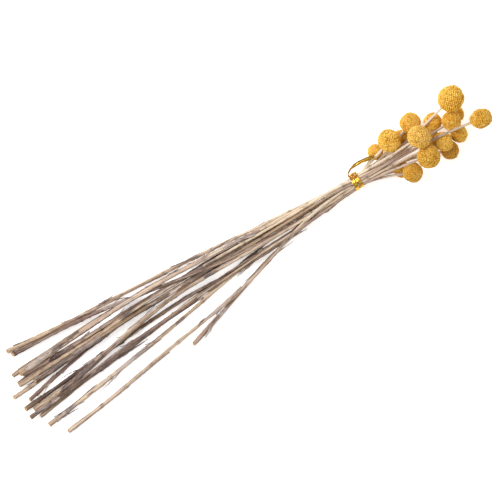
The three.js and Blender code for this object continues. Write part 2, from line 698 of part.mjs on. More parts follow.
/**
 * A flat strip's closed skin. Each row has a middle, a half width and the direction across the strip, and
 * it may name its own direction along the strip, square to which its corners lie.
 */
function stripGeometry(rows, thickness) {
  const points = [];
  rows.forEach(({ middle, across, half, along: own }, k) => {
    const before = rows[Math.max(k - 1, 0)].middle;
    const after = rows[Math.min(k + 1, rows.length - 1)].middle;
    const along = own ?? after.clone().sub(before).normalize();
    const side = across.clone().addScaledVector(along, -across.dot(along)).normalize();
    const face = new THREE.Vector3().crossVectors(along, side);
    for (const [sideways, out] of [[1, 1], [-1, 1], [-1, -1], [1, -1]]) {
      const corner = middle.clone().addScaledVector(side, sideways * half);
      points.push(corner.addScaledVector(face, 0.5 * out * thickness).toArray());
    }
  });
  const triangles = [[0, 2, 1], [0, 3, 2]];
  const last = 4 * (rows.length - 1);
  triangles.push([last, last + 1, last + 2], [last, last + 2, last + 3]);
  for (let a = 0; a < last; a += 4) {
    const b = a + 4; // both faces are split from the same corner, so that a waved blade can't cross itself
    triangles.push([a, a + 1, b + 1], [a, b + 1, b], [a + 1, a + 2, b + 2], [a + 1, b + 2, b + 1]);
    triangles.push([a + 2, a + 3, b + 2], [a + 3, b + 3, b + 2], [a + 3, a, b], [a + 3, b, b + 3]);
  }
  return geometryOf(points, triangles);
}

/**
 * A leaf's rows, each in a plane across X: it leaves the stem at an angle round it, lies along it, and
 * turns and lifts to its tip.
 */
function leafRows(rod, leaf) {
  const length = leaf.to - leaf.from;
  const count = Math.max(4, Math.round(Math.abs(length) / LEAVES.rowStep) + 1);
  return Array.from({ length: count }, (_, k) => {
    const t = k / (count - 1);
    const x = leaf.from + length * t;
    const radius = rod.radiusAt(x);
    const angle = leaf.angle + leaf.drift * t;
    const out = THREE.MathUtils.lerp(LEAVES.root * radius, radius + leaf.lift, Math.pow(t, 0.8));
    const wave = leaf.wave * Math.sin(2 * Math.PI * t * leaf.waves);
    const spoke = new THREE.Vector3(0, Math.cos(angle), Math.sin(angle));
    const round = new THREE.Vector3(0, -Math.sin(angle), Math.cos(angle));
    const turn = leaf.twist * t;
    const [foot, tip] = LEAVES.narrowed;
    return {
      middle: axisAt(rod, x).addScaledVector(spoke, out + wave),
      along: new THREE.Vector3(Math.sign(length), 0, 0),
      across: round.multiplyScalar(Math.cos(turn)).addScaledVector(spoke, Math.sin(turn)),
      half: 0.5 * leaf.width * Math.min(1, foot + 2 * t, tip + 2 * (1 - t)),
    };
  });
}

/** Points all over a strip, between its rows and across them. */
function pointsOver(rows) {
  const points = [];
  for (let k = 0; k < rows.length - 1; k += 1) {
    for (let t = 0; t < 1; t += 0.2) {
      const middle = rows[k].middle.clone().lerp(rows[k + 1].middle, t);
      const across = rows[k].across.clone().lerp(rows[k + 1].across, t).normalize();
      const half = THREE.MathUtils.lerp(rows[k].half, rows[k + 1].half, t);
      for (const share of [-1, -0.5, 0, 0.5, 1]) {
        points.push(middle.clone().addScaledVector(across, share * half));
      }
    }
  }
  return points;
}

const SLANT = 0.95; // a stem is nearer than it seems across X, because it runs at a slant
const BETWEEN_POINTS = 0.15; // and a strip may come nearer to it between two of the tested points

/** Whether a strip's points are clear of the table, the other stems and the leaves so far. */
function isClear(points, rods, own, grown) {
  const skin = 0.5 * LEAVES.thickness + GAP;
  const leafRoom = LEAVES.thickness + 2 * GAP;
  const low = Math.min(...points.map((point) => point.x)) - leafRoom;
  const high = Math.max(...points.map((point) => point.x)) + leafRoom;
  const near = grown.filter((point) => point.x > low && point.x < high);
  return points.every((point) => {
    if (point.z < skin) return false;
    for (const rod of rods) {
      if (rod === own || point.x < rod.row.cut[0] - leafRoom) continue;
      const { y, z } = axisAt(rod, point.x);
      const away = SLANT * Math.hypot(point.y - y, point.z - z);
      if (away < rod.radiusAt(point.x) + skin + BETWEEN_POINTS) return false;
    }
    return near.every((other) => other.distanceTo(point) > leafRoom);
  });
}

const ATTEMPTS = { large: 600, loose: 9000 };
const FIRST_LEAF = 3; // how near a cut end a leaf may reach

/** Grows the large leaves near where they should be, and then loose ones wherever there is room. */
function growLeaves(rods) {
  const draw = drawsFrom(11);
  const leaves = rods.map(() => []);
  const grown = [];
  const grow = (index, leaf) => {
    const rod = rods[index];
    const lowest = rod.row.cut[0] + FIRST_LEAF;
    if (Math.max(leaf.from, leaf.to) > LEAVES.highest || Math.min(leaf.from, leaf.to) < lowest) return false;
    const rows = leafRows(rod, leaf);
    const points = pointsOver(rows);
    if (!isClear(points, rods, rod, grown)) return false;
    leaves[index].push(stripGeometry(rows, LEAVES.thickness));
    grown.push(...points);
    return true;
  };

  for (const { stem, side, ...leaf } of LARGE_LEAVES) {
    let found = false;
    for (let attempt = 0; attempt < ATTEMPTS.large && !found; attempt += 1) {
      const astray = attempt / ATTEMPTS.large; // the longer there is no room, the further away it tries
      const from = leaf.from + between(draw, [-12, 12]) * astray;
      found = grow(stem - 1, {
        ...leaf,
        from,
        to: from + (leaf.to - leaf.from) * (1 - 0.4 * astray),
        angle: (Math.PI / 180) * (side + between(draw, [-150, 150]) * astray),
        drift: leaf.drift * between(draw, [1 - 2 * astray, 1]),
        lift: leaf.lift * between(draw, [1 - 0.7 * astray, 1 + astray]),
        width: leaf.width * (1 - 0.4 * astray),
        waves: LEAVES.waves,
      });
    }
    if (!found) throw new Error(`No room for the leaf of stem ${stem} at ${leaf.from}`);
  }

  const { loose } = LEAVES;
  let count = 0;
  for (let attempt = 0; attempt < ATTEMPTS.loose && count < loose.count; attempt += 1) {
    const index = Math.floor(draw() * rods.length);
    const from = THREE.MathUtils.lerp(rods[index].row.cut[0] + FIRST_LEAF, LEAVES.highest, draw() ** 1.5);
    const heading = draw() < 0.7 ? 1 : -1;
    const leaf = {
      from,
      to: from + heading * between(draw, loose.length),
      angle: 2 * Math.PI * draw(),
      drift: between(draw, [-loose.drift, loose.drift]),
      lift: between(draw, loose.lift),
      width: between(draw, loose.width),
      twist: between(draw, [-loose.twist, loose.twist]),
      wave: between(draw, [0, loose.wave]),
      waves: between(draw, [0.8, 1.6]),
    };
    if (leaves[index].length < loose.perStem && grow(index, leaf)) count += 1;
  }
  return leaves;
}

// ---------------------------------------------------------------------------------------------------
// The twist tie
// ---------------------------------------------------------------------------------------------------

/** How far the bundle of stems reaches from the middle of the tie, all round, under a turn at x. */
function bundleReach(rods, x) {
  const fine = 4 * TIE.steps;
  const angles = Array.from({ length: fine }, (_, k) => (2 * Math.PI * k) / fine);
  const supports = angles.map((angle) => {
    const reaches = rods.flatMap((rod) => [-0.5, 0, 0.5].map((share) => {
      const { y, z } = axisAt(rod, x + share * TIE.width);
      return y * Math.cos(angle) + (z - TIE.height) * Math.sin(angle) + rod.radiusAt(x);
    }));
    return Math.max(...reaches) + TIE.slack;
  });
  const reaches = angles.map((angle) => Math.min(...angles.map((other, k) => {
    const turned = Math.cos(angle - other);
    return turned > 0.2 ? supports[k] / turned : Infinity;
  })));
  // A face of the band is flat between its corners, so each corner goes out as far as its neighbourhood.
  return Array.from({ length: TIE.steps }, (_, corner) => {
    const around = [-3, -2, -1, 0, 1, 2, 3].map((k) => reaches[(4 * corner + k + fine) % fine]);
    return Math.max(...around);
  });
}

/** One turn of the tie: a closed band round the stems, leaning a little along them. */
function turnGeometry(rods, x, tilt) {
  const reach = bundleReach(rods, x);
  const points = [];
  reach.forEach((inner, k) => {
    const angle = (2 * Math.PI * k) / TIE.steps;
    const lean = x + tilt * Math.cos(angle);
    for (const [side, out] of [[-0.5, 0], [0.5, 0], [0.5, TIE.thickness], [-0.5, TIE.thickness]]) {
      const radius = inner + out;
      const [y, z] = [radius * Math.cos(angle), radius * Math.sin(angle)];
      points.push([lean + side * TIE.width, y, z + TIE.height]);
    }
  });
  const triangles = [];
  for (let k = 0; k < TIE.steps; k += 1) {
    const next = (k + 1) % TIE.steps;
    for (let side = 0; side < 4; side += 1) {
      const after = (side + 1) % 4;
      const [a, b] = [4 * k + side, 4 * k + after];
      const [c, d] = [4 * next + side, 4 * next + after];
      triangles.push([a, b, d], [a, d, c]);
    }
  }
  return geometryOf(points, triangles);
}

/** The lump where the tie's ends are twisted together, from one turn to the other. */
function knotGeometry() {
  const rows = Array.from({ length: KNOT.rows }, (_, k) => {
    const t = k / (KNOT.rows - 1);
    const turn = 2 * Math.PI * KNOT.twists * t;
    const [outSway, upSway] = KNOT.waver;
    return {
      middle: new THREE.Vector3(
        THREE.MathUtils.lerp(KNOT.from, KNOT.to, t),
        KNOT.out - outSway * Math.cos(2 * Math.PI * t),
        TIE.height + KNOT.up + upSway * Math.sin(2 * Math.PI * t),
      ),
      across: new THREE.Vector3(0, Math.cos(turn), Math.sin(turn)),
      half: 0.5 * KNOT.width,
    };
  });
  return stripGeometry(rows, KNOT.thickness);
}

/** The loose end: a ribbon that stands on its edge at the knot and turns its face up towards its end. */
function tailGeometry() {
  const path = new THREE.CatmullRomCurve3(
    TAIL.path.map(([x, y, z]) => new THREE.Vector3(x, y, z + TIE.height)),
  );
  const rows = Array.from({ length: TAIL.rows }, (_, k) => {
    const t = k / (TAIL.rows - 1);
    const lie = THREE.MathUtils.smoothstep(t, 0.25, 0.75) * TAIL.turn;
    return {
      middle: path.getPointAt(t),
      across: new THREE.Vector3(0, Math.sin(lie), Math.cos(lie)),
      half: 0.5 * THREE.MathUtils.lerp(...TAIL.width, THREE.MathUtils.smoothstep(t, 0, 0.6)),
    };
  });
  return stripGeometry(rows, TIE.thickness);
}

function tieGeometry(rods) {
  const pieces = TIE.turns.map((x, k) => turnGeometry(rods, x, (k === 0 ? 1 : -1) * TIE.tilt));
  return fused([...pieces, knotGeometry(), tailGeometry()]);
}

// ---------------------------------------------------------------------------------------------------
// The bunch
// ---------------------------------------------------------------------------------------------------

const stemMaterial = new THREE.MeshStandardMaterial({ color: 0xc8af91, roughness: 0.85, metalness: 0 });
const headMaterial = new THREE.MeshStandardMaterial({ color: 0xe1a032, roughness: 0.95, metalness: 0 });
const tieMaterial = new THREE.MeshStandardMaterial({ color: 0xe6b432, roughness: 0.25, metalness: 1 });

const bunch = new THREE.Group();

function addPiece(name, geometry, material) {
  const mesh = new THREE.Mesh(geometry, material);
  mesh.name = name;
  bunch.add(mesh);
}

const rods = layStems();
rods.forEach((rod) => {
  rod.rings = ringMiddles(rod);
});
const leaves = growLeaves(rods);
const draw = drawsFrom(7);
rods.forEach((rod, index) => {
  const number = String(index + 1).padStart(2, '0');
  addPiece(`stem_${number}`, fused([stemGeometry(rod), ...leaves[index]]), stemMaterial);
  addPiece(`head_${number}`, headGeometry(rod, draw), headMaterial);
});
addPiece('twist_tie', tieGeometry(rods), tieMaterial);

const size = new THREE.Box3().setFromObject(bunch);
const middle = size.getCenter(new THREE.Vector3());
bunch.position.set(-middle.x, -middle.y, -size.min.z);

export default bunch;
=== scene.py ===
# %% [markdown]
# # A tied bunch of dried billy buttons
# Billy buttons are flowers without petals: each head is a ball of hundreds of tiny florets on a thin, stiff
# stem. Here seventeen dried ones lie on a table, held together by a gold twist tie. The solids of the bunch
# give every stem's route, every head's place and the tie's size. This file dresses them: ribbed stems with
# papery leaf remnants, heads covered with separate florets, and crumpled foil.

import bpy
import numpy as np
from mathutils import Matrix, Vector


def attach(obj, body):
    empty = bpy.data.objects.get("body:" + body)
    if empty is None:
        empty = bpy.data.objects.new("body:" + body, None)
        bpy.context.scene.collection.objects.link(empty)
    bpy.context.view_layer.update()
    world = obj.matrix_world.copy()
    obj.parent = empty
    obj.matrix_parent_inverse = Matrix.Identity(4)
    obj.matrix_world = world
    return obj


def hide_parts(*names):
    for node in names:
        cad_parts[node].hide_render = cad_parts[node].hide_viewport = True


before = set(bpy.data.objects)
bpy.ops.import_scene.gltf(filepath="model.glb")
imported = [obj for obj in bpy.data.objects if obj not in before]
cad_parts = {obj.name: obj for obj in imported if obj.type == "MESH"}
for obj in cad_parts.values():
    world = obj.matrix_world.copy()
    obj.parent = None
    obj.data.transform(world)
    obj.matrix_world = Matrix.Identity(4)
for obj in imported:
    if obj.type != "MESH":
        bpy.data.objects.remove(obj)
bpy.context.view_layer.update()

MM = 0.001
NUMBERS = range(1, 1 + sum(name.startswith("stem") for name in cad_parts))
print("solids:", len(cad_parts), "stems:", len(NUMBERS))

# %% [markdown]
# ## Skins
# Almost everything here is a strip or a tube: a row of closed cross-sections, joined from each to the next.
# A curve with a bevel makes such shapes too, but all its sections are alike. Worked out with numpy, each
# one can have its own form. So one function turns an array of cross-sections into faces, and fills the
# first and the last one, which closes the skin.

# %% Tubes from cross-sections
def at_points(values, rows, ring):
    """Values that are given once, or once for a row or a column, as one number for every point."""
    return {name: np.broadcast_to(value, (rows, ring)).ravel() for name, value in values.items()}


def tube(sections, finish=0, **values):
    """A closed skin over sections[i, j], point j of cross-section i.

    The points of a section run counterclockwise for someone who looks back along the tube, from the last
    section to the first. Faces between sections have four corners. Each end is filled with a fan.
    """
    rows, ring = sections.shape[:2]
    number = np.arange(rows * ring).reshape(rows, ring)
    after = np.roll(number, -1, axis=1)
    quads = np.stack([number[:-1], after[:-1], after[1:], number[1:]], axis=-1).reshape(-1, 4)
    first, last = number[0], number[-1]
    fans = [
        np.stack([np.full(ring - 2, first[0]), first[2:], first[1:-1]], axis=-1),
        np.stack([np.full(ring - 2, last[0]), last[1:-1], last[2:]], axis=-1),
    ]
    return {
        "points": sections.reshape(-1, 3),
        "quads": quads,
        "triangles": np.concatenate(fans),
        "finish": finish,
        "values": at_points(values, rows, ring),
    }


def many(skin_points, one, **values):
    """The same skin many times over: skin_points[i] holds the points of copy i of the skin one."""
    copies, count = skin_points.shape[:2]
    shift = (np.arange(copies) * count)[:, None, None]
    return {
        "points": skin_points.reshape(-1, 3),
        "quads": (one["quads"][None] + shift).reshape(-1, 4),
        "triangles": (one["triangles"][None] + shift).reshape(-1, 3),
        "finish": one["finish"],
        "values": at_points(values, copies, count),
    }


bar = tube(np.zeros((2, 4, 3)))
print("a square bar:", len(bar["quads"]), "sides and", len(bar["triangles"]), "triangles in its ends")

# %% [markdown]
# A piece is several skins in one mesh. Numbers that its material reads, such as how far along the stem a
# point lies, are stored at the points. The piece then rides on the bunch and takes the place of its solid.

# %% Pieces from skins
pieces = []


def faces_of(skins):
    """All faces of several skins in one mesh: their corners, how many each has, and its finish's number."""
    starts = np.cumsum([0] + [len(skin["points"]) for skin in skins[:-1]])
    corners, sizes, finish_of = [], [], []
    for skin, start in zip(skins, starts):
        for faces in (skin["quads"], skin["triangles"]):
            corners.append((faces + start).ravel())
            sizes.append(np.full(len(faces), faces.shape[1]))
            finish_of.append(np.full(len(faces), skin["finish"]))
    return (np.concatenate(rows).astype(np.int32) for rows in (corners, sizes, finish_of))


def mesh_of(name, skins):
    """One mesh of several skins, smooth, with the numbers that are stored at their points."""
    points = np.concatenate([skin["points"] for skin in skins])
    corners, sizes, finish_of = faces_of(skins)
    mesh = bpy.data.meshes.new(name)
    mesh.vertices.add(len(points))
    mesh.vertices.foreach_set("co", points.astype(np.float32).ravel())
    mesh.loops.add(len(corners))
    mesh.loops.foreach_set("vertex_index", corners)
    mesh.polygons.add(len(sizes))
    mesh.polygons.foreach_set("loop_start", (np.cumsum(sizes) - sizes).astype(np.int32))
    mesh.polygons.foreach_set("material_index", finish_of)
    mesh.polygons.foreach_set("use_smooth", np.ones(len(sizes), bool))
    mesh.update(calc_edges=True)
    for value in sorted({key for skin in skins for key in skin["values"]}):
        stored = mesh.attributes.new(value, "FLOAT", "POINT")
        numbers = [skin["values"].get(value, np.zeros(len(skin["points"]))) for skin in skins]
        stored.data.foreach_set("value", np.concatenate(numbers).astype(np.float32))
    return mesh


def put(name, data):
    """A new object in the scene."""
    made = bpy.data.objects.new(name, data)
    bpy.context.scene.collection.objects.link(made)
    return made


def add_piece(name, skins, finishes, node, sharp=None):
    """Makes one object of several skins, in place, rides it on the bunch and lets it replace its solid."""
    piece = put(name, mesh_of(name, skins))
    if sharp:
        piece.data.set_sharp_from_angle(angle=np.radians(sharp))
    for finish in finishes:
        piece.data.materials.append(finish)
    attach(piece, "root")
    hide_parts(node)
    pieces.append(piece)
    return piece


bar_corners, bar_sizes, _ = faces_of([bar])
print("the bar's faces:", len(bar_sizes), "with", len(bar_corners), "corners")

# %% [markdown]
# ## Smooth lines and slow waver
# Nature has no straight lines and no jumps. A natural spline carries a line smoothly through a few known
# places, and a sum of a few sine waves with drawn phases makes a waver that never quite repeats.

# %% Splines and waver
def smooth_through(places, values, wanted):
    """The natural cubic spline through (places, values), at the wanted places.

    Every piece is a cubic. Slopes and bends agree where pieces meet, and the bend is zero at both ends. The
    bends are the solution of one linear system.
    """
    gaps = np.diff(places)
    count = len(places)
    system = np.eye(count)
    inner = np.arange(1, count - 1)
    system[inner, inner - 1] = gaps[:-1]
    system[inner, inner] = 2 * (gaps[:-1] + gaps[1:])
    system[inner, inner + 1] = gaps[1:]
    slopes = np.diff(values, axis=0) / gaps[:, None]
    right = np.zeros_like(values, dtype=float)
    right[1:-1] = 6 * np.diff(slopes, axis=0)
    bends = np.linalg.solve(system, right)
    piece = np.clip(np.searchsorted(places, wanted) - 1, 0, count - 2)
    gap = gaps[piece][:, None]
    before = (places[piece + 1] - wanted)[:, None] / gap
    after = 1 - before
    line = before * values[piece] + after * values[piece + 1]
    bow = (before**3 - before) * bends[piece] + (after**3 - after) * bends[piece + 1]
    return line + bow * gap**2 / 6


def waver(draw, place, pitch, waves=4):
    """A sum of sine waves of place, from -1 to 1 or so: wave k has pitch / k^1.3, size / k^0.7."""
    total = np.zeros_like(np.asarray(place, dtype=float))
    for k in range(1, waves + 1):
        turns = place * k**1.3 / pitch * draw.uniform(0.85, 1.2)
        total = total + np.sin(2 * np.pi * (turns + draw.uniform())) / k**0.7
    return total / 1.6


halfway = smooth_through(np.arange(3), np.array([[0.0], [1], [0]]), np.array([0.5]))
print("a spline through 0, 1 and 0 is at", halfway.item(), "halfway up")

# %% Directions along a path
def unit(vectors):
    """The same vectors, one long."""
    return vectors / np.linalg.norm(vectors, axis=-1, keepdims=True)


def across_of(path):
    """Directions along a path, and square to it sideways and upwards."""
    along = unit(np.gradient(path, axis=0))
    up = unit(np.array([0, 0, 1.0]) - along * along[:, 2:])
    return along, np.cross(up, along), up


def strip_faces(path, side, off, lift, thick):
    """The top and the bottom of a strip along path: path + off side + lift normal, plus or minus thick / 2.

    side is first made square to the path, and the normal is square to both.
    """
    along = unit(np.gradient(path, axis=0))
    side = unit(side - along * (side * along).sum(axis=1, keepdims=True))
    normal = np.cross(along, side)[:, None]
    face = path[:, None] + side[:, None] * off[..., None] + normal * lift[..., None]
    skin = normal * (0.5 * thick)[..., None]
    return face + skin, face - skin


def travelled(path):
    """How far each point of a path lies from its first one, along it, as a column."""
    return np.concatenate([[0], np.cumsum(np.linalg.norm(np.diff(path, axis=0), axis=1))])[:, None]


corner = np.array([(0.0, 0, 0), (1, 0, 0), (1, 1, 0)])
print("round one corner of a unit square:", travelled(corner)[-1].item())

# %% [markdown]
# ## Reading the stems back from their solids
# Each stem's solid is a five-sided tube with rings that lie square to X, evenly spaced from its cut end to
# its tip, and strips for its leaf remnants, whose cross-sections also lie square to X. Those have four
# corners, and one of them may be hidden in the stem. So points that share an X belong together: five at a
# ring's place are a ring, and three or four elsewhere are one row of a leaf. This finds every stem's line
# and its leaves without a table of numbers.

# %% Points that share an X
RING_STEP = 14 * MM
RING_SIDES = 5
SAME_X = 0.002 * MM


def solid_of(node):
    """The distinct corner points of a solid, in metres, and its triangles as numbers into them."""
    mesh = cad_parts[node].data
    corners = np.empty(3 * len(mesh.vertices), np.float32)
    mesh.vertices.foreach_get("co", corners)
    loops = np.empty(len(mesh.loops), np.int32)
    mesh.loops.foreach_get("vertex_index", loops)
    points, number = np.unique(corners.reshape(-1, 3).round(7), axis=0, return_inverse=True)
    return points.astype(float), number.ravel()[loops].reshape(-1, 3)


def slices_of(points):
    """The planes that points share across X: each point's plane, and every plane's count and middle."""
    order = np.argsort(points[:, 0])
    plane = np.empty(len(points), int)
    plane[order] = np.concatenate([[0], np.cumsum(np.diff(points[order, 0]) > SAME_X)])
    count = np.bincount(plane)
    middle = np.stack([np.bincount(plane, points[:, axis]) / count for axis in range(3)], axis=1)
    return plane, count, middle


shared = slices_of(solid_of("stem_01")[0])[1]
print("planes of the first stem with 1, 2, 3 ... points:", np.bincount(shared)[1:])

# %% Leaf rows
def chains_of(triangles, row):
    """Groups the leaf rows that triangles join. row is each point's row, or -1. Returns each row's group."""
    pairs = np.concatenate([triangles[:, [0, 1]], triangles[:, [1, 2]], triangles[:, [2, 0]]])
    joined = row[pairs]
    joined = joined[(joined >= 0).all(axis=1)]
    group = np.arange(row.max() + 1)
    for _ in range(len(group)):
        lowest = np.minimum(group[joined[:, 0]], group[joined[:, 1]])
        spread = group.copy()
        np.minimum.at(spread, joined[:, 0], lowest)
        np.minimum.at(spread, joined[:, 1], lowest)
        if (spread == group).all():
            break
        group = spread
    return group


def leaf_row(corners):
    """A row's middle, its direction from edge to edge, and half its width.

    Where a corner is hidden in the stem, it lies across from the one with the right angle.
    """
    if len(corners) == 3:
        opposite = [np.linalg.norm(corners[k - 1] - corners[k - 2]) for k in range(3)]
        corners = np.vstack([corners, corners.sum(axis=0) - 2 * corners[np.argmax(opposite)]])
    middle = corners.mean(axis=0)
    sizes, directions = np.linalg.eigh((corners - middle).T @ (corners - middle) / len(corners))
    return middle, directions[:, 2], np.sqrt(max(sizes[2], 0))


def leaves_of(points, triangles, row):
    """The rows of each leaf that has two or more of them."""
    group = chains_of(triangles, row)
    used = np.unique(row[row >= 0])
    leaves = []
    for name in np.unique(group[used]):
        rows = [leaf_row(points[row == k]) for k in used[group[used] == name]]
        if len(rows) >= 2:
            leaves.append(rows)
    return leaves


three = np.array([(0.0, 0, 0), (0, 2, 0), (0, 0, 1)]) * MM
print("a row 2 mm wide, with a hidden corner, reads as:", round(2 * leaf_row(three)[2] / MM, 3), "mm")

# %% Every stem
def read_stem(number):
    """A stem's line, as rings of x, y, z and radius, and the rows of each of its leaves."""
    points, triangles = solid_of(f"stem_{number:02d}")
    plane, count, middle = slices_of(points)
    ends = points[:, 0].min(), points[:, 0].max()
    stations = np.linspace(*ends, round((ends[1] - ends[0]) / RING_STEP) + 1)
    nearest = np.abs(middle[:, :1] - stations).argmin(axis=1)
    at_station = np.abs(middle[:, 0] - stations[nearest]) < SAME_X
    whole = at_station & (count == RING_SIDES)
    radius = np.sqrt(np.bincount(plane, ((points - middle[plane]) ** 2).sum(axis=1)) / count)
    known = np.column_stack([middle, radius])[whole]
    rings = np.column_stack([stations, smooth_through(known[:, 0], known[:, 1:], stations)])
    of_leaf = ~at_station & ((count == 3) | (count == 4))
    return {"rings": rings, "leaves": leaves_of(points, triangles, np.where(of_leaf[plane], plane, -1))}


stems = {number: read_stem(number) for number in NUMBERS}
print("rings:", sum(len(stem["rings"]) for stem in stems.values()))
print("leaves:", [len(stem["leaves"]) for stem in stems.values()])

# %% [markdown]
# ## Stems
# A dried stem is a ribbed tube that shrinks unevenly, so its section is a little oval and its thickness
# wavers. Every few centimetres there is a leaf scar: a low ring with a nub on one side. A bevelled curve
# would be even all along, so here the distance from the stem's middle is a function of two numbers: how far
# along the stem a point lies, and at what angle round it. Twenty points round it are enough for ten ribs.

# %% Lines of the stems
STEM_STEP = 1.3 * MM


def stem_line(stem):
    """Closely spaced points along the stem's middle, and the radius there."""
    rings = stem["rings"]
    steps = round((rings[-1, 0] - rings[0, 0]) / STEM_STEP)
    x = np.linspace(rings[0, 0], rings[-1, 0], steps + 1)
    line = smooth_through(rings[:, 0], rings[:, 1:], x)
    return np.column_stack([x, line[:, :2]]), line[:, 2]


lines = {number: stem_line(stem) for number, stem in stems.items()}
print("points along all stems:", sum(len(path) for path, _ in lines.values()))

# %% Ribs, ovals and scars
RIBS = 10
RIB, OVAL, SWELL, LUMP = 0.035, 0.07, 0.05, 0.03  # how far each form raises the surface, in radii
LUMP_TURN = 10 / 3 * MM  # the lumps lie on a screw line, which turns one radian every so far
SCAR_RING, SCAR_NUB = 0.03, 0.32  # how far a scar's ring and its nub stand out, in radii
SCAR, STAIN = 1.1 * MM, 2 * MM  # how far the scar and the dark stain round it reach along the stem


def bell(s, place, reach):
    """A smooth rise to 1 at a place: exp(-((s - place) / reach)^2)."""
    return np.exp(-(((s - place) / reach) ** 2))


def scars_along(draw, length):
    """Places of leaf scars along a stem, each with the side that its nub is on and its size."""
    places = np.cumsum(draw.uniform(18, 46, 30)) * MM
    places = places[places < length - 25 * MM]
    return places, draw.uniform(0, 2 * np.pi, len(places)), draw.uniform(0.4, 1, len(places))


def stem_form(draw, s, a):
    """How far the surface stands out at distance s along the stem and angle a round it, and its stains.

    It is RIB cos(RIBS a), which fades in and out, + OVAL cos(2 (a - a0(s))) + SWELL waver(s)
    + LUMP waver(s) cos(a - s / LUMP_TURN) + for every scar, a bell in s that is higher on its nub's side.
    """
    rib = RIB * np.cos(RIBS * a) * (1 + 0.5 * waver(draw, s, 30 * MM))
    oval = OVAL * np.cos(2 * (a - 3 * waver(draw, s, 160 * MM)))
    swell = SWELL * waver(draw, s, 23 * MM)
    lump = LUMP * waver(draw, s, 6 * MM) * np.cos(a - s / LUMP_TURN)
    form = rib + oval + swell + lump
    stain = np.zeros_like(form)
    for place, where, size in zip(*scars_along(draw, s[-1, 0])):
        facing = np.clip(np.cos(a - where), 0, 1)
        form = form + size * bell(s, place, SCAR) * (SCAR_RING + SCAR_NUB * facing**4)
        stain = np.maximum(stain, size * bell(s, place, STAIN))
    return form, stain


half_metre = scars_along(np.random.default_rng(1), 0.5)[0]
print("scars along half a metre:", (half_metre / MM).round(), "mm")

# %% [markdown]
# The cut end shows pale pith, sunk inside a darker rim. It is made of a few more sections before the first
# full one, from the bottom of the hollow out over the rim. The knife went through at an angle, so the first
# sections are slid along X, more on their upper side.

# %% Stem skins
STEM_SIDES = 20
FATTER = 0.08 * MM  # the solids stand a little apart, and these fill some of that room
# Rings of the cut end, from its middle out: share of the radius, depth in mm, and how much is pith.
CUT = np.array([(0.04, 0.7, 1), (0.4, 0.6, 1), (0.6, 0.4, 0.9), (0.74, 0.03, 0.6), (0.96, 0, 0.35)])
SLANT = (0.15, 0.8)  # least and most slope of the cut
SLANT_FADE = 8  # radii until the sections stand upright again


def above(points, lowest):
    """The points, with those that lie below a height lifted to it."""
    points[..., 2] = np.maximum(points[..., 2], lowest)
    return points


def stem_skin(draw, path, radius, tone):
    """A ribbed, wavering tube along path: at angle a round it, the surface is r (1 + form(s, a)) away.

    A spoke points out from the middle at each angle. It leans along the stem just as far as it takes to keep
    every section square to X, as the solid's rings are.
    """
    along, side, up = across_of(path)
    s = travelled(path)
    a = np.linspace(0, 2 * np.pi, STEM_SIDES, endpoint=False)[None]
    form, stain = stem_form(draw, s, a)
    reach = (radius[:, None] + FATTER) * (1 + form)
    spoke = side[:, None] * np.cos(a)[..., None] + up[:, None] * np.sin(a)[..., None]
    spoke = spoke - spoke[..., :1] / along[:, None, :1] * along[:, None]

    share, depth, pith = CUT.T[..., None]
    middle = np.concatenate([path[0] + along[0] * depth * MM, path])
    spoke = np.concatenate([np.repeat(spoke[:1], len(CUT), axis=0), spoke])
    reach = np.concatenate([reach[:1] * share, reach])
    s = np.concatenate([np.zeros_like(depth), s])
    sections = middle[:, None] + spoke * reach[..., None]
    fade = np.clip(1 - s / (SLANT_FADE * radius[0]), 0, 1)
    sections[..., 0] += draw.uniform(*SLANT) * fade * (1.1 * radius[0] + reach * np.sin(a))
    return tube(
        above(sections, 0),
        grain_x=s + tone * 3.1,
        grain_y=reach * np.cos(a) + tone * 0.7,
        grain_z=reach * np.sin(a),
        scar=np.concatenate([np.zeros((len(CUT), STEM_SIDES)), stain]),
        # rib is 1 on the ribs and 0 in the grooves, and height runs from 0 at the cut end to 1 at the tip;
        # the finish paints the grooves and the lower stem darker, as painted shade
        rib=0.5 + 0.5 * np.cos(RIBS * a),
        height=s / s[-1],
        pith=np.concatenate([pith, np.zeros((len(path), 1))]),
        tone=tone,
    )


longest = max(len(path) for path, _ in lines.values())
print("points of the longest stem:", STEM_SIDES * (len(CUT) + longest))

# %% [markdown]
# ## Leaf remnants
# What is left of the leaves clings to the stems: thin, papery strips that curl across, waver along and are
# torn at their edges. A flat plane with a cloth simulation could crumple like that, but it wouldn't follow
# its solid. So each strip starts from the rows that its solid gave: their middles, directions and widths
# are carried smoothly along, and then the paper gets its curl, its veins and its tears.

# %% The course of a leaf
LEAF_STEP = 0.9 * MM
BLADE = 0.66 * MM  # how thick the strips of the solids are
ROOT_BACK = 0.8  # the root lies this many rows before the first one
ROOT_OUT = 0.25  # and this much as far from the stem's middle


def in_order(rows, line):
    """A leaf's rows from its root to its tip. The root is the end that lies nearer to the stem's line."""
    away = [np.hypot(*(row[0] - line(row[0][0]))[1:]) for row in rows]
    return rows if away[0] <= away[-1] else rows[::-1]


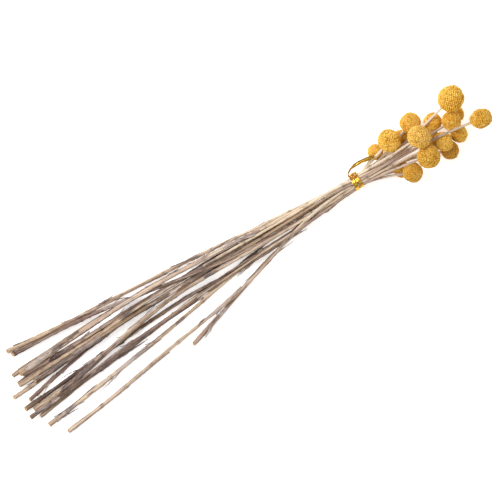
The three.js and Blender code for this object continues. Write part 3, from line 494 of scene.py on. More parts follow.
def leaf_course(rows, line):
    """A leaf's middle, sideways direction, half width and share of its length, closely spaced.

    A row that is hardly wider than it is thick has no sure direction, so it takes the one before it. The
    first of the new places is the root, which lies inside the stem.
    """
    middle, side, half = (np.array(column) for column in zip(*in_order(rows, line)))
    for k in range(1, len(rows)):
        same = side[k] @ side[k - 1]
        if half[k] < 0.7 * BLADE and abs(same) < 0.8:
            side[k] = side[k - 1]
        elif same < 0:
            side[k] = -side[k]
    root = line(middle[0, 0] - ROOT_BACK * (middle[1, 0] - middle[0, 0]))
    off = middle[0] - line(middle[0, 0])
    middle = np.vstack([root + ROOT_OUT * off, middle])
    side = np.vstack([side[0], side])
    half = np.concatenate([[0.7 * half[0]], half])
    length = abs(middle[-1, 0] - middle[0, 0])
    places = np.linspace(0, len(middle) - 1, max(12, round(length / LEAF_STEP)))
    course = smooth_through(np.arange(len(middle)), np.column_stack([middle, side, half]), places)
    share = (places / places[-1])[:, None]
    return course[:, :3], course[:, 3:6], np.clip(course[:, 6:], 0.15 * MM, None), share


def line_through(path):
    """A function that gives the stem's middle at a place x."""
    return lambda x: np.array([x, *(np.interp(x, path[:, 0], path[:, axis]) for axis in (1, 2))])


first_leaf = leaf_course(stems[1]["leaves"][0], line_through(lines[1][0]))
print("places along the first leaf:", len(first_leaf[0]))

# %% Leaf skins
LEAF_POINTS = 9  # across one face of the blade
LEAF_EDGE, LEAF_MIDDLE = 0.26 * MM, 0.48 * MM  # how thick the paper is there
LOWEST = 0.05 * MM  # paper stays this far above the table


def both_faces(top, bottom):
    """Rows of points that go over the top from edge to edge and come back underneath."""
    return np.concatenate([top, bottom[:, ::-1]], axis=1)


def paper(draw, top, bottom, v, s, share, start, width):
    """A closed strip between two faces, with what the leaf finish reads.

    v goes from edge to edge, s is the distance from the root, and share goes from 0 there to 1 at the tip.
    """
    across = both_faces(v, v)
    return tube(
        above(both_faces(top, bottom), LOWEST),
        finish=1,
        grain_x=s + start,
        grain_y=across * width,
        edge=np.clip(np.abs(across) ** 6 + share**8, 0, 1),
        tone=draw.uniform(),
    )


def torn(draw, s, coarse, fine):
    """How wide a torn blade is on one side, as a share of its whole width there."""
    return 1 + 0.16 * waver(draw, s, coarse * MM) + 0.1 * waver(draw, s, fine * MM)


def leaf_skin(draw, rows, line):
    """A papery strip through a leaf's rows, from a root inside the stem to a ragged tip.

    With v from edge to edge, the middle face is at m(s) + v w(s, v) c(s) + n(s) lift(s, v), where c is the
    strip's sideways direction and n its normal. The lift is v^2 (waver(s) - curl(s)), which rolls the edges
    up or down, plus veins cos(2.5 pi v) and a fine waver that runs slantwise.
    """
    middle, side, half, share = leaf_course(rows, line)
    s = share * abs(middle[-1, 0] - middle[0, 0])
    v = np.linspace(1, -1, LEAF_POINTS)[None]
    width = half * np.where(v > 0, torn(draw, s, 9, 2.3), torn(draw, s, 11, 2.9))
    width = width * np.clip(1.5 * (1.04 - share), 0, 1) ** 0.6
    curl = draw.uniform(-0.3, 0.55) * half * (0.3 + 0.7 * share)
    roll = 0.25 * MM * waver(draw, s, 8 * MM) * np.clip(3 * share, 0, 1) - curl
    vein = 0.05 * MM * np.cos(2.5 * np.pi * v)
    lift = roll * v**2 + vein + 0.1 * MM * waver(draw, s + 2 * MM * v, 4 * MM)
    thick = LEAF_EDGE + (LEAF_MIDDLE - LEAF_EDGE) * (1 - v**2)
    faces = strip_faces(middle, side, v * width, lift, thick)
    return paper(draw, *faces, v, s, share, middle[0, 0], half)


# %% [markdown]
# Lower leaves clasp their stem with a papery sheath. When the leaf is stripped off, part of the sheath stays
# as a sleeve that is open on one side and torn at its end. Thin fibres peel off the stem as well. Both are
# the same kind of strip. They are too thin for the solids, so their places are drawn here.

# %% Sheaths
SHEATH_POINTS = 11
SHEATH_STEP = 1.1 * MM
SHEATH_HALF = 0.09 * MM  # half the thickness of its paper
SHEATH_CLEAR = 0.22 * MM  # how far a sheath stands off its stem, past its foot


def sheath_skin(draw, path, radius, start, length):
    """A sleeve of paper round a stem, from a place x on, over a length that may run either way.

    With share from 0 at its foot to 1 at its tip and v from -1 to 1 across it, the paper lies at angle
    a0 + twist share + v half(share, v) round the stem and at distance r + gap(share, v) from its middle.
    half opens from a narrow foot and shrinks again to a torn tip. The gap is nothing at the foot, where the
    paper has grown on, and grows towards the tip and the edges, where it curls off.
    """
    share = np.linspace(0, 1, max(10, round(abs(length) / SHEATH_STEP)))[:, None]
    x = start + length * share[:, 0]
    _, side, up = across_of(path)
    columns = [np.interp(x, path[:, 0], values) for values in (*path.T, *side.T, *up.T, radius)]
    middle, side, up = (np.stack(columns[k : k + 3], axis=-1)[:, None] for k in (0, 3, 6))
    radius = columns[9][:, None]
    s = share * abs(length)
    v = np.linspace(1, -1, SHEATH_POINTS)[None]
    tear = np.where(v > 0, waver(draw, s, 7 * MM), waver(draw, s, 9 * MM))
    half = draw.uniform(0.8, 2) * np.clip(1.2 - share, 0.06, 1) ** 0.7 * np.clip(0.2 + 6 * share, 0, 1)
    half = half * (1 + 0.4 * np.sqrt(share) * tear)
    angle = draw.uniform(0, 2 * np.pi) + draw.uniform(-1, 1) * share + v * half
    curl = draw.uniform(0.1, 0.6) * MM * np.abs(v) ** 4 * np.sqrt(share)
    lift = draw.uniform(0, 1.3) * MM * share**5 * np.cos(v)
    loose = np.minimum(2.5 * share, 1)
    crinkle = 0.08 * MM * waver(draw, s + v * 2 * MM, 6 * MM)
    away = radius + (SHEATH_CLEAR + crinkle) * loose + curl + lift
    spoke = side * np.cos(angle)[..., None] + up * np.sin(angle)[..., None]
    outer, inner = (middle + spoke * (away + more)[..., None] for more in (SHEATH_HALF, -SHEATH_HALF))
    if length < 0:
        outer, inner = inner, outer
    return paper(draw, outer[:, ::-1], inner[:, ::-1], v[:, ::-1], s, share, start, radius)


sleeve = sheath_skin(np.random.default_rng(1), *lines[1], start=0, length=30 * MM)
print("points of a sheath 30 mm long:", len(sleeve["points"]))

# %% Fibres
FIBRE_HALF = 0.38 * MM  # half its width at the foot
NO_FIBRES = (20, 60)  # steps of the stem's line that stay bare, at its cut end and at its head


def fibre_rows(draw, path, radius):
    """Rows of a thin fibre that leaves the stem at a drawn place and curls away from it."""
    along, side, up = across_of(path)
    k = draw.integers(NO_FIBRES[0], len(path) - NO_FIBRES[1])
    length = draw.uniform(4, 10) * MM * draw.choice([-1, 1])
    a = draw.uniform(0, 2 * np.pi)
    out = side[k] * np.cos(a) + up[k] * np.sin(a)
    sideways = side[k] * -np.sin(a) + up[k] * np.cos(a)
    lift, swing = draw.uniform(0.4, 2.2) * MM, draw.uniform(-1.5, 1.5) * MM
    rows = []
    for share in np.linspace(0.1, 1, 5):
        place = path[k] + along[k] * length * share + out * (radius[k] + lift * share**2)
        rows.append((place + sideways * swing * share**2, sideways, FIBRE_HALF * (1.1 - share)))
    return rows


print("rows of a fibre:", len(fibre_rows(np.random.default_rng(1), *lines[1])))

# %% [markdown]
# ## Finishes
# Shader maths reads best as plain arithmetic. A Value wraps the output of a node, and each operator on it
# adds a Math node. Everything else goes through one method that adds any node: its kind, its settings and
# what its sockets get.

# %% Values
OPERATIONS = {"add": "ADD", "sub": "SUBTRACT", "mul": "MULTIPLY"}


class Value:
    """The output of a node. Arithmetic on it adds Math nodes."""

    def __init__(self, finish, socket):
        self.finish = finish
        self.socket = socket


def operator(operation, reflected):
    """The method that Value gets for an operator, or for its form with the Value on the right."""

    def method(self, other):
        first, second = (other, self) if reflected else (self, other)
        return self.finish.node("ShaderNodeMath", {"operation": operation}, {0: first, 1: second})

    return method


for word, operation in OPERATIONS.items():
    setattr(Value, f"__{word}__", operator(operation, False))
    setattr(Value, f"__r{word}__", operator(operation, True))
print("operators on a value:", *OPERATIONS)

# %% A finish
class Finish:
    """A material, built node by node."""

    def __init__(self, name):
        self.material = bpy.data.materials.new(name)
        self.material.use_nodes = True
        self.tree = self.material.node_tree
        self.shader = self.tree.nodes["Principled BSDF"]

    def node(self, kind, settings=None, sockets=None, output=0):
        """Adds a node: first its settings, then the values or links of its sockets. Returns one output."""
        made = self.tree.nodes.new(kind)
        for name, setting in (settings or {}).items():
            if name == "stops":
                while len(made.color_ramp.elements) < len(setting):
                    made.color_ramp.elements.new(0.5)
                for element, (place, colour) in zip(made.color_ramp.elements, setting):
                    element.position, element.color = place, colour
            else:
                setattr(made, name, setting)
        self.connect(made, sockets or {})
        return Value(self, made.outputs[output])

    def connect(self, made, sockets):
        """Gives sockets of a node a value, or a link from another node."""
        for name, what in sockets.items():
            if isinstance(what, Value):
                self.tree.links.new(what.socket, made.inputs[name])
            else:
                made.inputs[name].default_value = what

    def stored(self, name):
        """A number that is stored at the points of the mesh."""
        return self.node("ShaderNodeAttribute", {"attribute_name": name}, output="Fac")

    def here(self):
        """The place on the piece, in metres."""
        return self.node("ShaderNodeTexCoord", output="Object")

    def mix(self, share, first, second):
        """One colour turning into another as share goes from 0 to 1."""
        return self.node("ShaderNodeMix", {"data_type": "RGBA"}, {0: share, 6: first, 7: second}, output=2)

    def ramp(self, value, *stops):
        """Colours along a value, each given with its place on the way from 0 to 1."""
        return self.node("ShaderNodeValToRGB", {"stops": stops}, {0: value})

    def between(self, value, low, high):
        """0 at low, 1 at high, straight in between and level outside. low may be the greater one."""
        return self.node("ShaderNodeMapRange", None, {0: value, 1: low, 2: high, 3: 0.0, 4: 1.0})

    def noise(self, place, scale, detail=3.0):
        """A soft noise from 0 to 1, whose grains are 1 / scale across."""
        return self.node("ShaderNodeTexNoise", None, {"Vector": place, "Scale": scale, "Detail": detail})

    def grained(self, axes, scales, detail=3.0):
        """A noise over three numbers, whose grains are 1 / scale long along each of them."""
        x, y, z = (axis * scale for axis, scale in zip(axes, scales))
        return self.noise(self.node("ShaderNodeCombineXYZ", None, {0: x, 1: y, 2: z}), 1.0, detail)

    def bump(self, height, distance, strength=1.0):
        """The normal of a surface that the height, times the distance, stands out of."""
        sockets = {"Height": height, "Distance": distance, "Strength": strength}
        return self.node("ShaderNodeBump", None, sockets)

    def wear(self, **sockets):
        """Sets the shader's own sockets, by their names with spaces as underscores. Returns the material."""
        self.connect(self.shader, {name.replace("_", " "): what for name, what in sockets.items()})
        return self.material


def rgb(red, green, blue):
    """A colour given as on a screen, from 0 to 255, as the shader's linear numbers."""
    part = np.array([red, green, blue]) / 255
    linear = np.where(part < 0.04045, part / 12.92, ((part + 0.055) / 1.055) ** 2.4)
    return (*linear.tolist(), 1.0)


print("half-way grey on a screen, in the shader:", round(rgb(128, 128, 128)[0], 3))

# %% [markdown]
# ### Stem and leaf finishes
# Dried stems are pale straw in places and grey or pinkish brown in others, with fine darker lines along
# them. A picture wrapped round every stem could show that, but noise needs no picture and never repeats. It
# reads stored places in a straightened stem, x along it and y and z across, so a small scale along x makes
# long streaks that follow the stem. Each stem has a tone of its own, and all grow paler towards their heads
# and darker towards their cut ends, which is painted shade of the leaf remnants crowded there. The grooves
# between the ribs are painted a little darker too, as painted shade. Leaf remnants are duller and greyer.
# Their streaks are veins, and their edges are darker.

# %% Stem finish
def stem_finish():
    finish = Finish("dried_stem")
    grain = [finish.stored(f"grain_{axis}") for axis in "xyz"]
    tone, height, rib = (finish.stored(name) for name in ("tone", "height", "rib"))
    line = finish.grained(grain, (26, 1900, 1900))
    band = finish.grained(grain, (14, 620, 620), 1.0)
    patch = finish.grained(grain, (30, 200, 200))
    fleck = finish.grained(grain, (420, 1500, 1500), 4.0)
    shade = line * 1.6 + band * 1.1 + patch * 0.5 + fleck * 0.35 + tone * 0.6
    # Painted shade: darker towards the cut end through height, and darker in the grooves between the ribs
    # through rib.
    shade = shade + height * height * 0.62 + rib * 0.14 - 1.8
    colour = finish.ramp(
        shade,
        (0.0, rgb(66, 50, 42)),
        (0.25, rgb(118, 96, 84)),
        (0.5, rgb(170, 146, 129)),
        (0.75, rgb(205, 182, 159)),
        (1.0, rgb(232, 216, 190)),
    )
    straw, pink, spot, stain = rgb(216, 182, 134), rgb(194, 158, 145), rgb(112, 78, 58), rgb(84, 58, 46)
    hue = finish.grained((grain[0], tone, 3.0), (7, 9, 1), 1.0)
    colour = finish.mix(finish.between(hue, 0.5, 0.66) * 0.32, colour, straw)
    colour = finish.mix(finish.between(hue, 0.48, 0.34) * 0.34, colour, pink)
    colour = finish.mix(finish.between(fleck, 0.6, 0.72) * 0.5, colour, spot)
    colour = finish.mix(finish.stored("scar") * finish.between(fleck, 0.35, 0.6) * 0.8, colour, stain)
    pith = finish.ramp(fleck, (0.3, rgb(122, 78, 44)), (0.5, rgb(206, 158, 98)), (0.68, rgb(240, 220, 176)))
    return finish.wear(
        Base_Color=finish.mix(finish.stored("pith"), colour, pith),
        Roughness=0.62 + fleck * 0.3,
        Specular_IOR_Level=0.35,
        Normal=finish.bump(line + fleck * 0.4, 0.25 * MM),
    )


STEM = stem_finish()
print("nodes in the stem's finish:", len(STEM.node_tree.nodes))

# %% Leaf finish
def leaf_finish():
    finish = Finish("dried_leaf")
    tone = finish.stored("tone")
    grain = finish.stored("grain_x"), finish.stored("grain_y"), tone
    vein = finish.grained(grain, (50, 2100, 40))
    patch = finish.grained(grain, (120, 320, 40), 4.0)
    colour = finish.ramp(
        tone * 0.55 + patch * 0.8 + vein * 0.8 - 0.52,
        (0.0, rgb(64, 52, 48)),
        (0.3, rgb(114, 99, 93)),
        (0.6, rgb(162, 146, 138)),
        (1.0, rgb(218, 204, 193)),
    )
    rust, rim = rgb(176, 128, 92), rgb(98, 76, 64)
    colour = finish.mix(finish.between(patch, 0.54, 0.7) * 0.45, colour, rust)
    return finish.wear(
        Base_Color=finish.mix(finish.stored("edge") * 0.25, colour, rim),
        Roughness=0.7 + patch * 0.25,
        Specular_IOR_Level=0.3,
        Normal=finish.bump(vein + patch * 0.4, 0.25 * MM),
    )


LEAF = leaf_finish()
print("nodes in the leaf's finish:", len(LEAF.node_tree.nodes))

# %% The stems
SHEATHS = (3, 7)  # fewest, and one more than the most, on a stem
SHEATH_LONG = (12, 48)  # shortest and longest, in mm
SHEATH_FROM, SHEATH_TO = 25 * MM, 175 * MM  # least distance of a foot from the cut end, and from the tip
BACKWARDS = 0.3  # the share of sheaths that run back towards the cut end
BARE = 8 * MM  # no sheath reaches nearer to the cut end
FIBRES = 7


def sheaths_of(draw, path, radius):
    """A few sheaths at drawn places, most of them in the lower half of the stem."""
    first, last = path[0, 0] + SHEATH_FROM, path[-1, 0] - SHEATH_TO
    skins = []
    for _ in range(draw.integers(*SHEATHS)):
        start = first + (last - first) * draw.uniform() ** 1.6
        length = draw.uniform(*SHEATH_LONG) * MM * draw.choice([-1, 1], p=[BACKWARDS, 1 - BACKWARDS])
        length = max(length, path[0, 0] + BARE - start)
        skins.append(sheath_skin(draw, path, radius, start, length))
    return skins


for number, stem in stems.items():
    draw = np.random.default_rng(100 + number)
    path, radius = lines[number]
    line = line_through(path)
    skins = [stem_skin(draw, path, radius, tone=draw.uniform())]
    skins += [leaf_skin(draw, rows, line) for rows in stem["leaves"]]
    skins += sheaths_of(draw, path, radius)
    skins += [leaf_skin(draw, fibre_rows(draw, path, radius), line) for _ in range(FIBRES)]
    add_piece(f"dried_stem_{number:02d}", skins, [STEM, LEAF], f"stem_{number:02d}", sharp=60)
print("stems:", len(pieces), "faces:", sum(len(piece.data.polygons) for piece in pieces))

# %% [markdown]
# ## Flower heads
# A head is a ball of florets, packed as seeds are in a sunflower: each next one turns by the golden angle,
# which spreads them evenly and makes the faint spiral rows of the real thing. Particles would scatter them
# without rows, and a bump map would leave the outline smooth. Each floret is a blunt bead. It is repeated
# hundreds of times, so it has only four rings of six points.

# %% Head measures
STEM_IN_HEAD = 4.5 * MM


def read_head(number):
    """A head's middle, its axis, and its half sizes along and across the axis."""
    points, _ = solid_of(f"head_{number:02d}")
    before, tip = stems[number]["rings"][-2:, :3]
    axis = unit(tip - before)
    along = ((points - tip) @ axis).max() / 2 + STEM_IN_HEAD / 2
    middle = tip + axis * (along - STEM_IN_HEAD)
    off = points - middle
    share = (off @ axis / along) ** 2
    away = np.linalg.norm(off - np.outer(off @ axis, axis), axis=1)
    across = (away / np.sqrt(np.clip(1 - share, 0.5, 1)))[share < 0.4].max()
    return middle, axis, along, across


widths = [2 * read_head(number)[3] / MM for number in NUMBERS]
print("heads:", round(min(widths), 1), "to", round(max(widths), 1), "mm across")

# %% Florets
BEAD_SIDES = 6
BEAD = np.array([(0.54, -0.3), (0.57, 0.05), (0.4, 0.38), (0.12, 0.5)])  # reach and height, in bead spacings
BEAD_LIGHT = np.array([0.0, 0.36, 0.85, 1.0])  # how much light each of its rings gets


def spiral(count):
    """Directions spread evenly over a ball, each turned by the golden angle from the one before."""
    k = np.arange(count)
    height = 1 - (2 * k + 1) / count
    ring = np.sqrt(1 - height**2)
    angle = np.pi * (3 - np.sqrt(5)) * k
    return np.stack([height, ring * np.cos(angle), ring * np.sin(angle)], axis=1)


def florets(draw, directions, spacing, size):
    """Beads that stand on an ellipsoid: bead i has its foot at size * direction i and points outwards.

    Point j of ring k of a bead is foot + spacing * (reach_k (e1 cos a_j + e2 sin a_j) + height_k out),
    where e1 and e2 are square to out. Every bead has its own width, height, uneven outline and lean.
    """
    count = len(directions)
    out = unit(directions / size)
    feet = directions * size
    e1 = unit(np.cross(out, draw.normal(size=(count, 3))))
    e2 = np.cross(out, e1)
    wide = spacing * draw.uniform(0.8, 1.2, (count, 1, 1, 1))
    tall = spacing * draw.uniform(0.55, 1.35, (count, 1, 1, 1))
    a = np.linspace(0, 2 * np.pi, BEAD_SIDES, endpoint=False)
    round_it = e1[:, None, None] * np.cos(a)[:, None] + e2[:, None, None] * np.sin(a)[:, None]
    reach = BEAD[:, 0][None, :, None, None] * (1 + draw.uniform(-0.14, 0.14, (count, 1, BEAD_SIDES, 1)))
    rise = BEAD[:, 1][None, :, None, None]
    lean = (e1 * draw.normal(0, 0.09, (count, 1)) + e2 * draw.normal(0, 0.09, (count, 1)))[:, None, None]
    points = feet[:, None, None] + wide * reach * round_it + tall * rise * (out[:, None, None] + lean)
    return points.reshape(count, -1, 3)


print("faces of a floret:", BEAD_SIDES * (len(BEAD) - 1) + 2 * (BEAD_SIDES - 2))

# %% Skins of a head
FLORET_AREA = 0.87  # the surface that a floret takes, in spacings squared
SWELLS = [(0.03, 1.2)] + 4 * [(0.016, 3)]  # size and fineness of each ripple in a head's form
CORE_RINGS, CORE_SIDES = 18, 28
CORE_LOWEST = 0.02 * MM  # the core stays this far above the table


def ripple(draw, directions, fineness):
    """A sine wave over the ball, in a drawn direction."""
    return np.sin(directions @ draw.normal(0, fineness, 3) + draw.uniform(0, 6))


def core_ball():
    """Rings of points on a ball, from its back to its front."""
    polar = np.linspace(np.pi - 0.02, 0.02, CORE_RINGS)[:, None]
    a = np.linspace(0, 2 * np.pi, CORE_SIDES, endpoint=False)[None]
    return np.stack([np.cos(polar) + 0 * a, np.sin(polar) * np.cos(a), np.sin(polar) * np.sin(a)], axis=-1)


def head_skins(draw, number, spacing, unruly, shade):
    """The head's core and its florets, in place."""
    middle, axis, along, across = read_head(number)
    own_axes = np.array(Vector(axis).to_track_quat("X", "Z").to_matrix()).T
    size = np.array([along, across, across]) - BEAD[-1, 1] * spacing
    count = round(4 * np.pi * size.prod() ** (2 / 3) / (FLORET_AREA * spacing**2))
    directions = spiral(count)
    directions = unit(directions + draw.normal(0, unruly * spacing / across, directions.shape))
    swell = 1 + sum(much * ripple(draw, directions, fineness) for much, fineness in SWELLS)
    points = florets(draw, directions * swell[:, None], spacing, size) @ own_axes + middle
    beads = many(
        above(points, 0),
        tube(np.zeros((len(BEAD), BEAD_SIDES, 3))),
        lit=np.repeat(BEAD_LIGHT, BEAD_SIDES)[None],
        tone=draw.uniform(size=(count, 1)),
        patch=0.5 + 0.5 * ripple(draw, directions, 2.2)[:, None],
        shade=shade,
    )
    core = above((core_ball() * (size - 0.02 * spacing)) @ own_axes + middle, CORE_LOWEST)
    return [beads, tube(core, lit=0.15, tone=0.5, patch=0.5, shade=shade)]


print("rings and points round the core:", core_ball().shape[:2])

# %% [markdown]
# ### Head finish
# The florets are golden yellow at their tips and a deeper orange brown between them, where the light
# doesn't reach. Ambient occlusion could find those gaps, but it costs time in every render. Here each point
# of a bead knows how deep it lies. Each floret differs a little from the next, and each head from the others.

# %% Floret finish
def floret_finish():
    finish = Finish("dried_florets")
    lit, tone, patch, shade = (finish.stored(name) for name in ("lit", "tone", "patch", "shade"))
    spot = finish.here()
    grain = finish.noise(spot, 3200.0)
    granule = finish.node("ShaderNodeTexVoronoi", None, {"Vector": spot, "Scale": 2100.0})
    colour = finish.ramp(
        lit * 0.78 + tone * 0.34 + grain * 0.2 + patch * 0.12 - granule * 0.3 - 0.08,
        (0.0, rgb(148, 84, 12)),
        (0.35, rgb(206, 136, 22)),
        (0.62, rgb(240, 179, 42)),
        (1.0, rgb(255, 221, 116)),
    )
    cream, pale, dull_and_shaded = rgb(255, 234, 172), rgb(240, 194, 112), rgb(170, 112, 44)
    speck = finish.between(finish.noise(spot, 900.0), 0.52, 0.62) * finish.between(granule, 0.6, 0.25)
    colour = finish.mix(speck * lit * (0.5 + shade * 0.5), colour, cream)
    paler = finish.between(shade, 0.5, 1.0)
    colour = finish.mix(paler * paler * 0.35, colour, pale)
    return finish.wear(
        # Heads of low shade turn brownish: their own colour, and on head 12 painted shade, as it lies in
        # shade.
        Base_Color=finish.mix(finish.between(shade, 0.5, 0.0) * 0.5, colour, dull_and_shaded),
        Roughness=0.82 + grain * 0.15,
        Specular_IOR_Level=0.25,
        Normal=finish.bump(grain - granule * 0.9, 0.16 * MM, 0.8),
    )


FLORETS = floret_finish()
print("nodes in the florets' finish:", len(FLORETS.node_tree.nodes))

# %% The heads
# Spacing: mm from floret to floret. Unruly: how far florets stray from even rows, in spacings. Shade: from
# 0, duller and brownish, to 1, pale. The brownish end is the heads' own colour, and on head 12 it is also
# painted shade, as that head lies in shade. Most heads look like the usual one, and some have looks of their
# own.
USUAL = {"spacing": 1.22, "unruly": 0.12, "shade": 0.45}
OWN = {
    1: {"spacing": 1.9, "unruly": 0.05},
    2: {"spacing": 1.55, "unruly": 0.08, "shade": 0.3},
    3: {"spacing": 1.4, "shade": 0.35},
    6: {"shade": 0.1},
    9: {"shade": 0.8},
    10: {"spacing": 1.5, "unruly": 0.18, "shade": 0.95},
    11: {"spacing": 1.4, "shade": 0.3},
    # painted shade: head 12 lies in shade, so it is painted darker
    12: {"shade": 0.15},
    13: {"shade": 0.3},
    14: {"spacing": 1.6, "unruly": 0.08, "shade": 0.7},
}
for number in NUMBERS:
    look = USUAL | OWN.get(number, {})
    draw = np.random.default_rng(300 + number)
    skins = head_skins(draw, number, look["spacing"] * MM, look["unruly"], look["shade"])
    add_piece(f"flower_head_{number:02d}", skins, [FLORETS], f"head_{number:02d}")
print("faces of each head:", [len(piece.data.polygons) for piece in pieces[-len(NUMBERS) :]])

# %% [markdown]
# ## The twist tie
# The tie is one ribbon of gold foil with a wire in its middle. It goes round the stems twice, its ends are
# twisted together into a knot, and one end curls away. As a surface it is a strip carried along a path.
# Foil creases sharply, so its waver is folded: the absolute value of a wave has a crease at every zero. A
# bump map could draw such creases, but it wouldn't break up the ribbon's outline.

# %% Ribbon skins
RIBBON_POINTS = 13
FOIL, WIRE = 0.16 * MM, 0.3 * MM  # how thick the foil is, and how much more it is over the wire
WIRE_HALF = 0.16  # half the wire's width, as a share of half the ribbon's
RIDGE = 0.22 * MM  # how far the wire's ridge stands out


def creases(draw, place, pitch):
    """A folded waver, from 0 to 1: straight flanks between sharp creases."""
    total = 0
    for k, size in enumerate((0.6, 0.4)):
        turns = place / pitch * (1 + 0.9 * k) + draw.uniform() + 0.3 * waver(draw, place, 5 * pitch, 2)
        total = total + size * np.abs(2 * (turns % 1) - 1)
    return total


def ribbon_skin(draw, path, side, half, crumple, stretch=1):
    """A foil ribbon along path, with a wire under its middle.

    With u along it and v from edge to edge, a point is path(u) + v half(u) side(u) + normal(u) lift(u, v).
    The lift is the wire's ridge, a bell over v, and creases that run slantwise and grow to the edges,
    crumple high. stretch draws all waves out along the ribbon. The skin stores how folded it is.
    """
    u = travelled(path) / stretch
    v = np.linspace(1, -1, RIBBON_POINTS)[None]
    slant = 0.7 * MM * stretch**0.5 * v
    fold = creases(draw, u + slant, 2.1 * MM) * creases(draw, u - 1.6 * slant, 3.7 * MM)
    wire = bell(v, 0, WIRE_HALF)
    lift = RIDGE * wire + crumple * (fold * (0.35 + v**2) - 0.25)
    width = half[:, None] * (1 + 0.05 * waver(draw, u, 4 * MM))
    faces = strip_faces(path, side, v * width, lift, FOIL + WIRE * wire)
    return tube(both_faces(*faces), across=both_faces(v, v), fold=both_faces(fold, fold))


folds = creases(np.random.default_rng(1), np.linspace(0, 1, 200) * 34 * MM, 2.1 * MM)
print("creases along 34 mm of foil, from", round(folds.min(), 2), "to", round(folds.max(), 2))

# %% Turns round the stems
TIE = np.array([117.99, 11, 12.5]) * MM  # the middle of the tie
TURNS = {-1.5: 0.35, 2.9: -0.35}  # where each turn lies along the bunch, and how far it leans, in mm
TIE_WIDTH = 3.9 * MM
CLEAR = 0.62 * MM  # how far a turn's middle face stays from the stems


def bundle_reach(x, angles):
    """How far the stems reach from the tie's middle in each direction, as a string round them would lie.

    For each direction a, h(a) is the furthest that any stem reaches along it. The string at angle b is at
    the least h(a) / cos(b - a) over the directions a near b.
    """
    tops = []
    for stem in stems.values():
        y, z, radius = smooth_through(stem["rings"][:, 0], stem["rings"][:, 1:], np.array([TIE[0] + x]))[0]
        tops.append((y - TIE[1]) * np.cos(angles) + (z - TIE[2]) * np.sin(angles) + radius)
    furthest = np.max(tops, axis=0)
    turned = np.cos(angles[:, None] - angles[None])
    return np.where(turned > 0.2, furthest[None] / np.clip(turned, 0.2, 1), np.inf).min(axis=1)


def turn_skin(draw, x, lean):
    """A closed band round the stems at x, from the middle of the tie, a little outside them."""
    angles = np.linspace(0, 2 * np.pi, 181)
    reach = np.maximum(bundle_reach(x - 1.5 * MM, angles), bundle_reach(x + 1.5 * MM, angles)) + CLEAR
    path = TIE + np.stack([x + lean * np.cos(angles), reach * np.cos(angles), reach * np.sin(angles)], axis=1)
    side = np.tile([-1.0, 0, 0], (len(angles), 1))
    return ribbon_skin(draw, path, side, np.full(len(path), 0.5 * TIE_WIDTH), 0.35 * MM)


draw = np.random.default_rng(500)
turns = [turn_skin(draw, x * MM, lean * MM) for x, lean in TURNS.items()]
upwards = bundle_reach(0, np.array([np.pi / 2]))[0]
print("turns:", len(turns), "round stems that reach", round(upwards / MM, 1), "mm above the tie's middle")

# %% Knot and loose end
KNOT = np.array([0, 7.9, 2.8]) * MM  # from the middle of the tie
KNOT_LONG, KNOT_HALF = 8.2 * MM, 1.5 * MM  # its length, and half the width of its strands
KNOT_REACH = 0.75 * MM  # how far the strands wind from its line
KNOT_TURNS = 1.5
TAIL = np.array([
    (-2.9, 8.5, 3), (-2.3, 10, 4.6), (-0.9, 11.4, 6.4), (1.7, 12.8, 8), (4.6, 13.6, 9.2),
    (8.1, 14, 10), (12, 14, 10.4), (16, 13.5, 10.6), (20.8, 12.7, 10.6), (26.6, 11.3, 10.2),
]) * MM  # the loose end, from the middle of the tie


def knot_skin(draw, phase):
    """One of the two strands of the knot: a narrow ribbon that winds round the knot's own line."""
    t = np.linspace(0, 1, 70)
    line = TIE + KNOT + np.outer((t - 0.42) * KNOT_LONG, [1, 0, 0])
    turn = 2 * np.pi * KNOT_TURNS * t + phase
    out = np.stack([0 * t, np.cos(turn), np.sin(turn)], axis=1)
    side = np.stack([0 * t, -np.sin(turn), np.cos(turn)], axis=1)
    half = KNOT_HALF * np.sin(np.pi * (0.04 + 0.92 * t)) ** 0.4
    return ribbon_skin(draw, line + out * KNOT_REACH, side, half, 0.6 * MM)


def tail_skin(draw):
    """The loose end: it stands on its edge at the knot and turns its face up towards its end."""
    t = np.linspace(0, 1, 110)
    path = TIE + smooth_through(np.linspace(0, 1, len(TAIL)), TAIL, t)
    turn = np.clip((t - 0.25) / 0.5, 0, 1)
    lie = (0.14 + turn**2 * (3 - 2 * turn) * 0.3) * np.pi
    side = np.stack([0 * t, np.sin(lie), np.cos(lie)], axis=1)
    half = (1.1 + 0.8 * np.clip(t / 0.6, 0, 1)) * MM
    return ribbon_skin(draw, path, side, half, 0.45 * MM, stretch=5)


draw = np.random.default_rng(520)
knot_and_tail = [knot_skin(draw, 0.0), knot_skin(draw, np.pi), tail_skin(draw)]
print("loose end:", round(travelled(TAIL)[-1].item() / MM), "mm long")

# %% [markdown]
# ### Gold foil
# Foil is a metal mirror with a thin gold lacquer. Its colour is its reflection, so it needs creases to
# catch the light more than it needs a pattern. Where the lacquer has worn, at the edges, it is paler. Deep
# in the creases it is painted dark brown, as painted shade and painted dark reflection, and patches where the
# mottle is high are painted dark brown as well, as painted dark reflection.

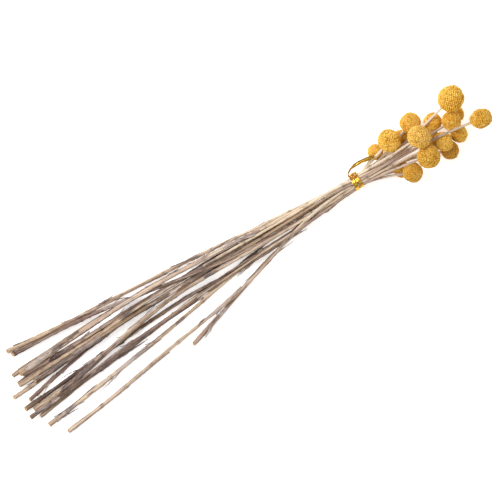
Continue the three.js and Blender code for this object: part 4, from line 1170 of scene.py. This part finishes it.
# %% The tie
def foil_finish():
    finish = Finish("gold_foil")
    wear = finish.noise(finish.here(), 900.0, 4.0)
    fine = finish.noise(finish.here(), 2600.0)
    across, fold = finish.stored("across"), finish.stored("fold")
    edge = finish.between(across * across, 0.64, 1.0)
    worn, dark, painted_dark_reflection = rgb(246, 230, 186), rgb(88, 52, 12), rgb(104, 62, 16)
    colour = finish.mix(wear, rgb(216, 150, 36), rgb(244, 200, 92))
    colour = finish.mix(edge * finish.between(fine, 0.4, 0.6) * 0.6, colour, worn)
    # Painted shade and painted dark reflection: deep brown in the creases.
    colour = finish.mix(finish.between(fold + wear * 0.3, 0.34, 0.16) * 0.85, colour, dark)
    return finish.wear(
        # Painted dark reflection: brown patches where the mottle is high.
        Base_Color=finish.mix(finish.between(wear, 0.6, 0.7) * 0.7, colour, painted_dark_reflection),
        Metallic=1.0,
        Roughness=0.14 + wear * 0.22,
        Normal=finish.bump(fine + wear, 0.12 * MM, 0.5),
    )


tie = add_piece("foil_twist_tie", turns + knot_and_tail, [foil_finish()], "twist_tie", sharp=35)
print("faces of the tie:", len(tie.data.polygons))

# %% [markdown]
# ## Table, light and camera
# The bunch lies on a plain white table under broad, soft light, and the camera looks straight down from
# well above, turned so that the bunch runs from the lower left to the upper right. The table glows a little,
# which keeps it white right up to the stems.

# %% Table
TABLE = 3.0  # from its middle to its edges, in metres


def table_finish():
    return Finish("white_table").wear(
        Base_Color=rgb(250, 250, 250),
        Roughness=0.9,
        Specular_IOR_Level=0.1,
        Emission_Color=(1, 1, 1, 1),
        Emission_Strength=0.52,
    )


mesh = bpy.data.meshes.new("table")
corners = [(-TABLE, -TABLE, 0), (TABLE, -TABLE, 0), (TABLE, TABLE, 0), (-TABLE, TABLE, 0)]
mesh.from_pydata(corners, [], [range(4)])
mesh.materials.append(table_finish())
table = put("table", mesh)
print("table:", 2 * TABLE, "m wide")

# %% Light
SKY = 0.38  # how bright the white surroundings are
KEY, FILL = 24, 5  # watts

world = bpy.data.worlds.new("studio")
world.use_nodes = True
world.node_tree.nodes["Background"].inputs["Color"].default_value = (1, 1, 1, 1)
world.node_tree.nodes["Background"].inputs["Strength"].default_value = SKY
bpy.context.scene.world = world
bpy.context.scene.view_settings.view_transform = "Standard"


def add_light(name, place, size, power):
    """A square soft light at a place, facing the middle of the bunch."""
    lamp = bpy.data.lights.new(name, "AREA")
    lamp.size, lamp.energy = size, power
    light = put(name, lamp)
    light.location = place
    light.rotation_euler = (-Vector(place)).to_track_quat("-Z", "Y").to_euler()


add_light("key", (-0.5, 0.8, 1.3), 0.9, KEY)
add_light("fill", (0.9, -0.5, 1.2), 1.0, FILL)
print("lights:", len(bpy.data.lights), "of", KEY, "and", FILL, "W")

# %% Camera
TILT = np.radians(31.5)  # the bunch's angle in the picture
SPAN = 0.4625  # metres of table across the picture
HEIGHT = 6.0
CENTRE = (1.99 * MM, 8.85 * MM)

lens = bpy.data.cameras.new("camera")
lens.sensor_width = 36
lens.lens = lens.sensor_width * HEIGHT / SPAN
lens.clip_end = 40
camera = put("camera", lens)
right = Vector((np.cos(TILT), -np.sin(TILT), 0))
upward = Vector((np.sin(TILT), np.cos(TILT), 0))
turned = Matrix((right, upward, Vector((0, 0, 1)))).transposed().to_4x4()
camera.matrix_world = Matrix.Translation((*CENTRE, HEIGHT)) @ turned
bpy.context.scene.camera = camera
print("lens:", round(lens.lens, 1), "mm")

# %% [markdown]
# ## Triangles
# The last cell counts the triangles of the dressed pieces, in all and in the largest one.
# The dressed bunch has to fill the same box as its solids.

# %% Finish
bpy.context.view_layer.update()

triangles = [sum(len(face.vertices) - 2 for face in piece.data.polygons) for piece in pieces]
print("triangles:", sum(triangles), "most in a piece:", max(triangles))
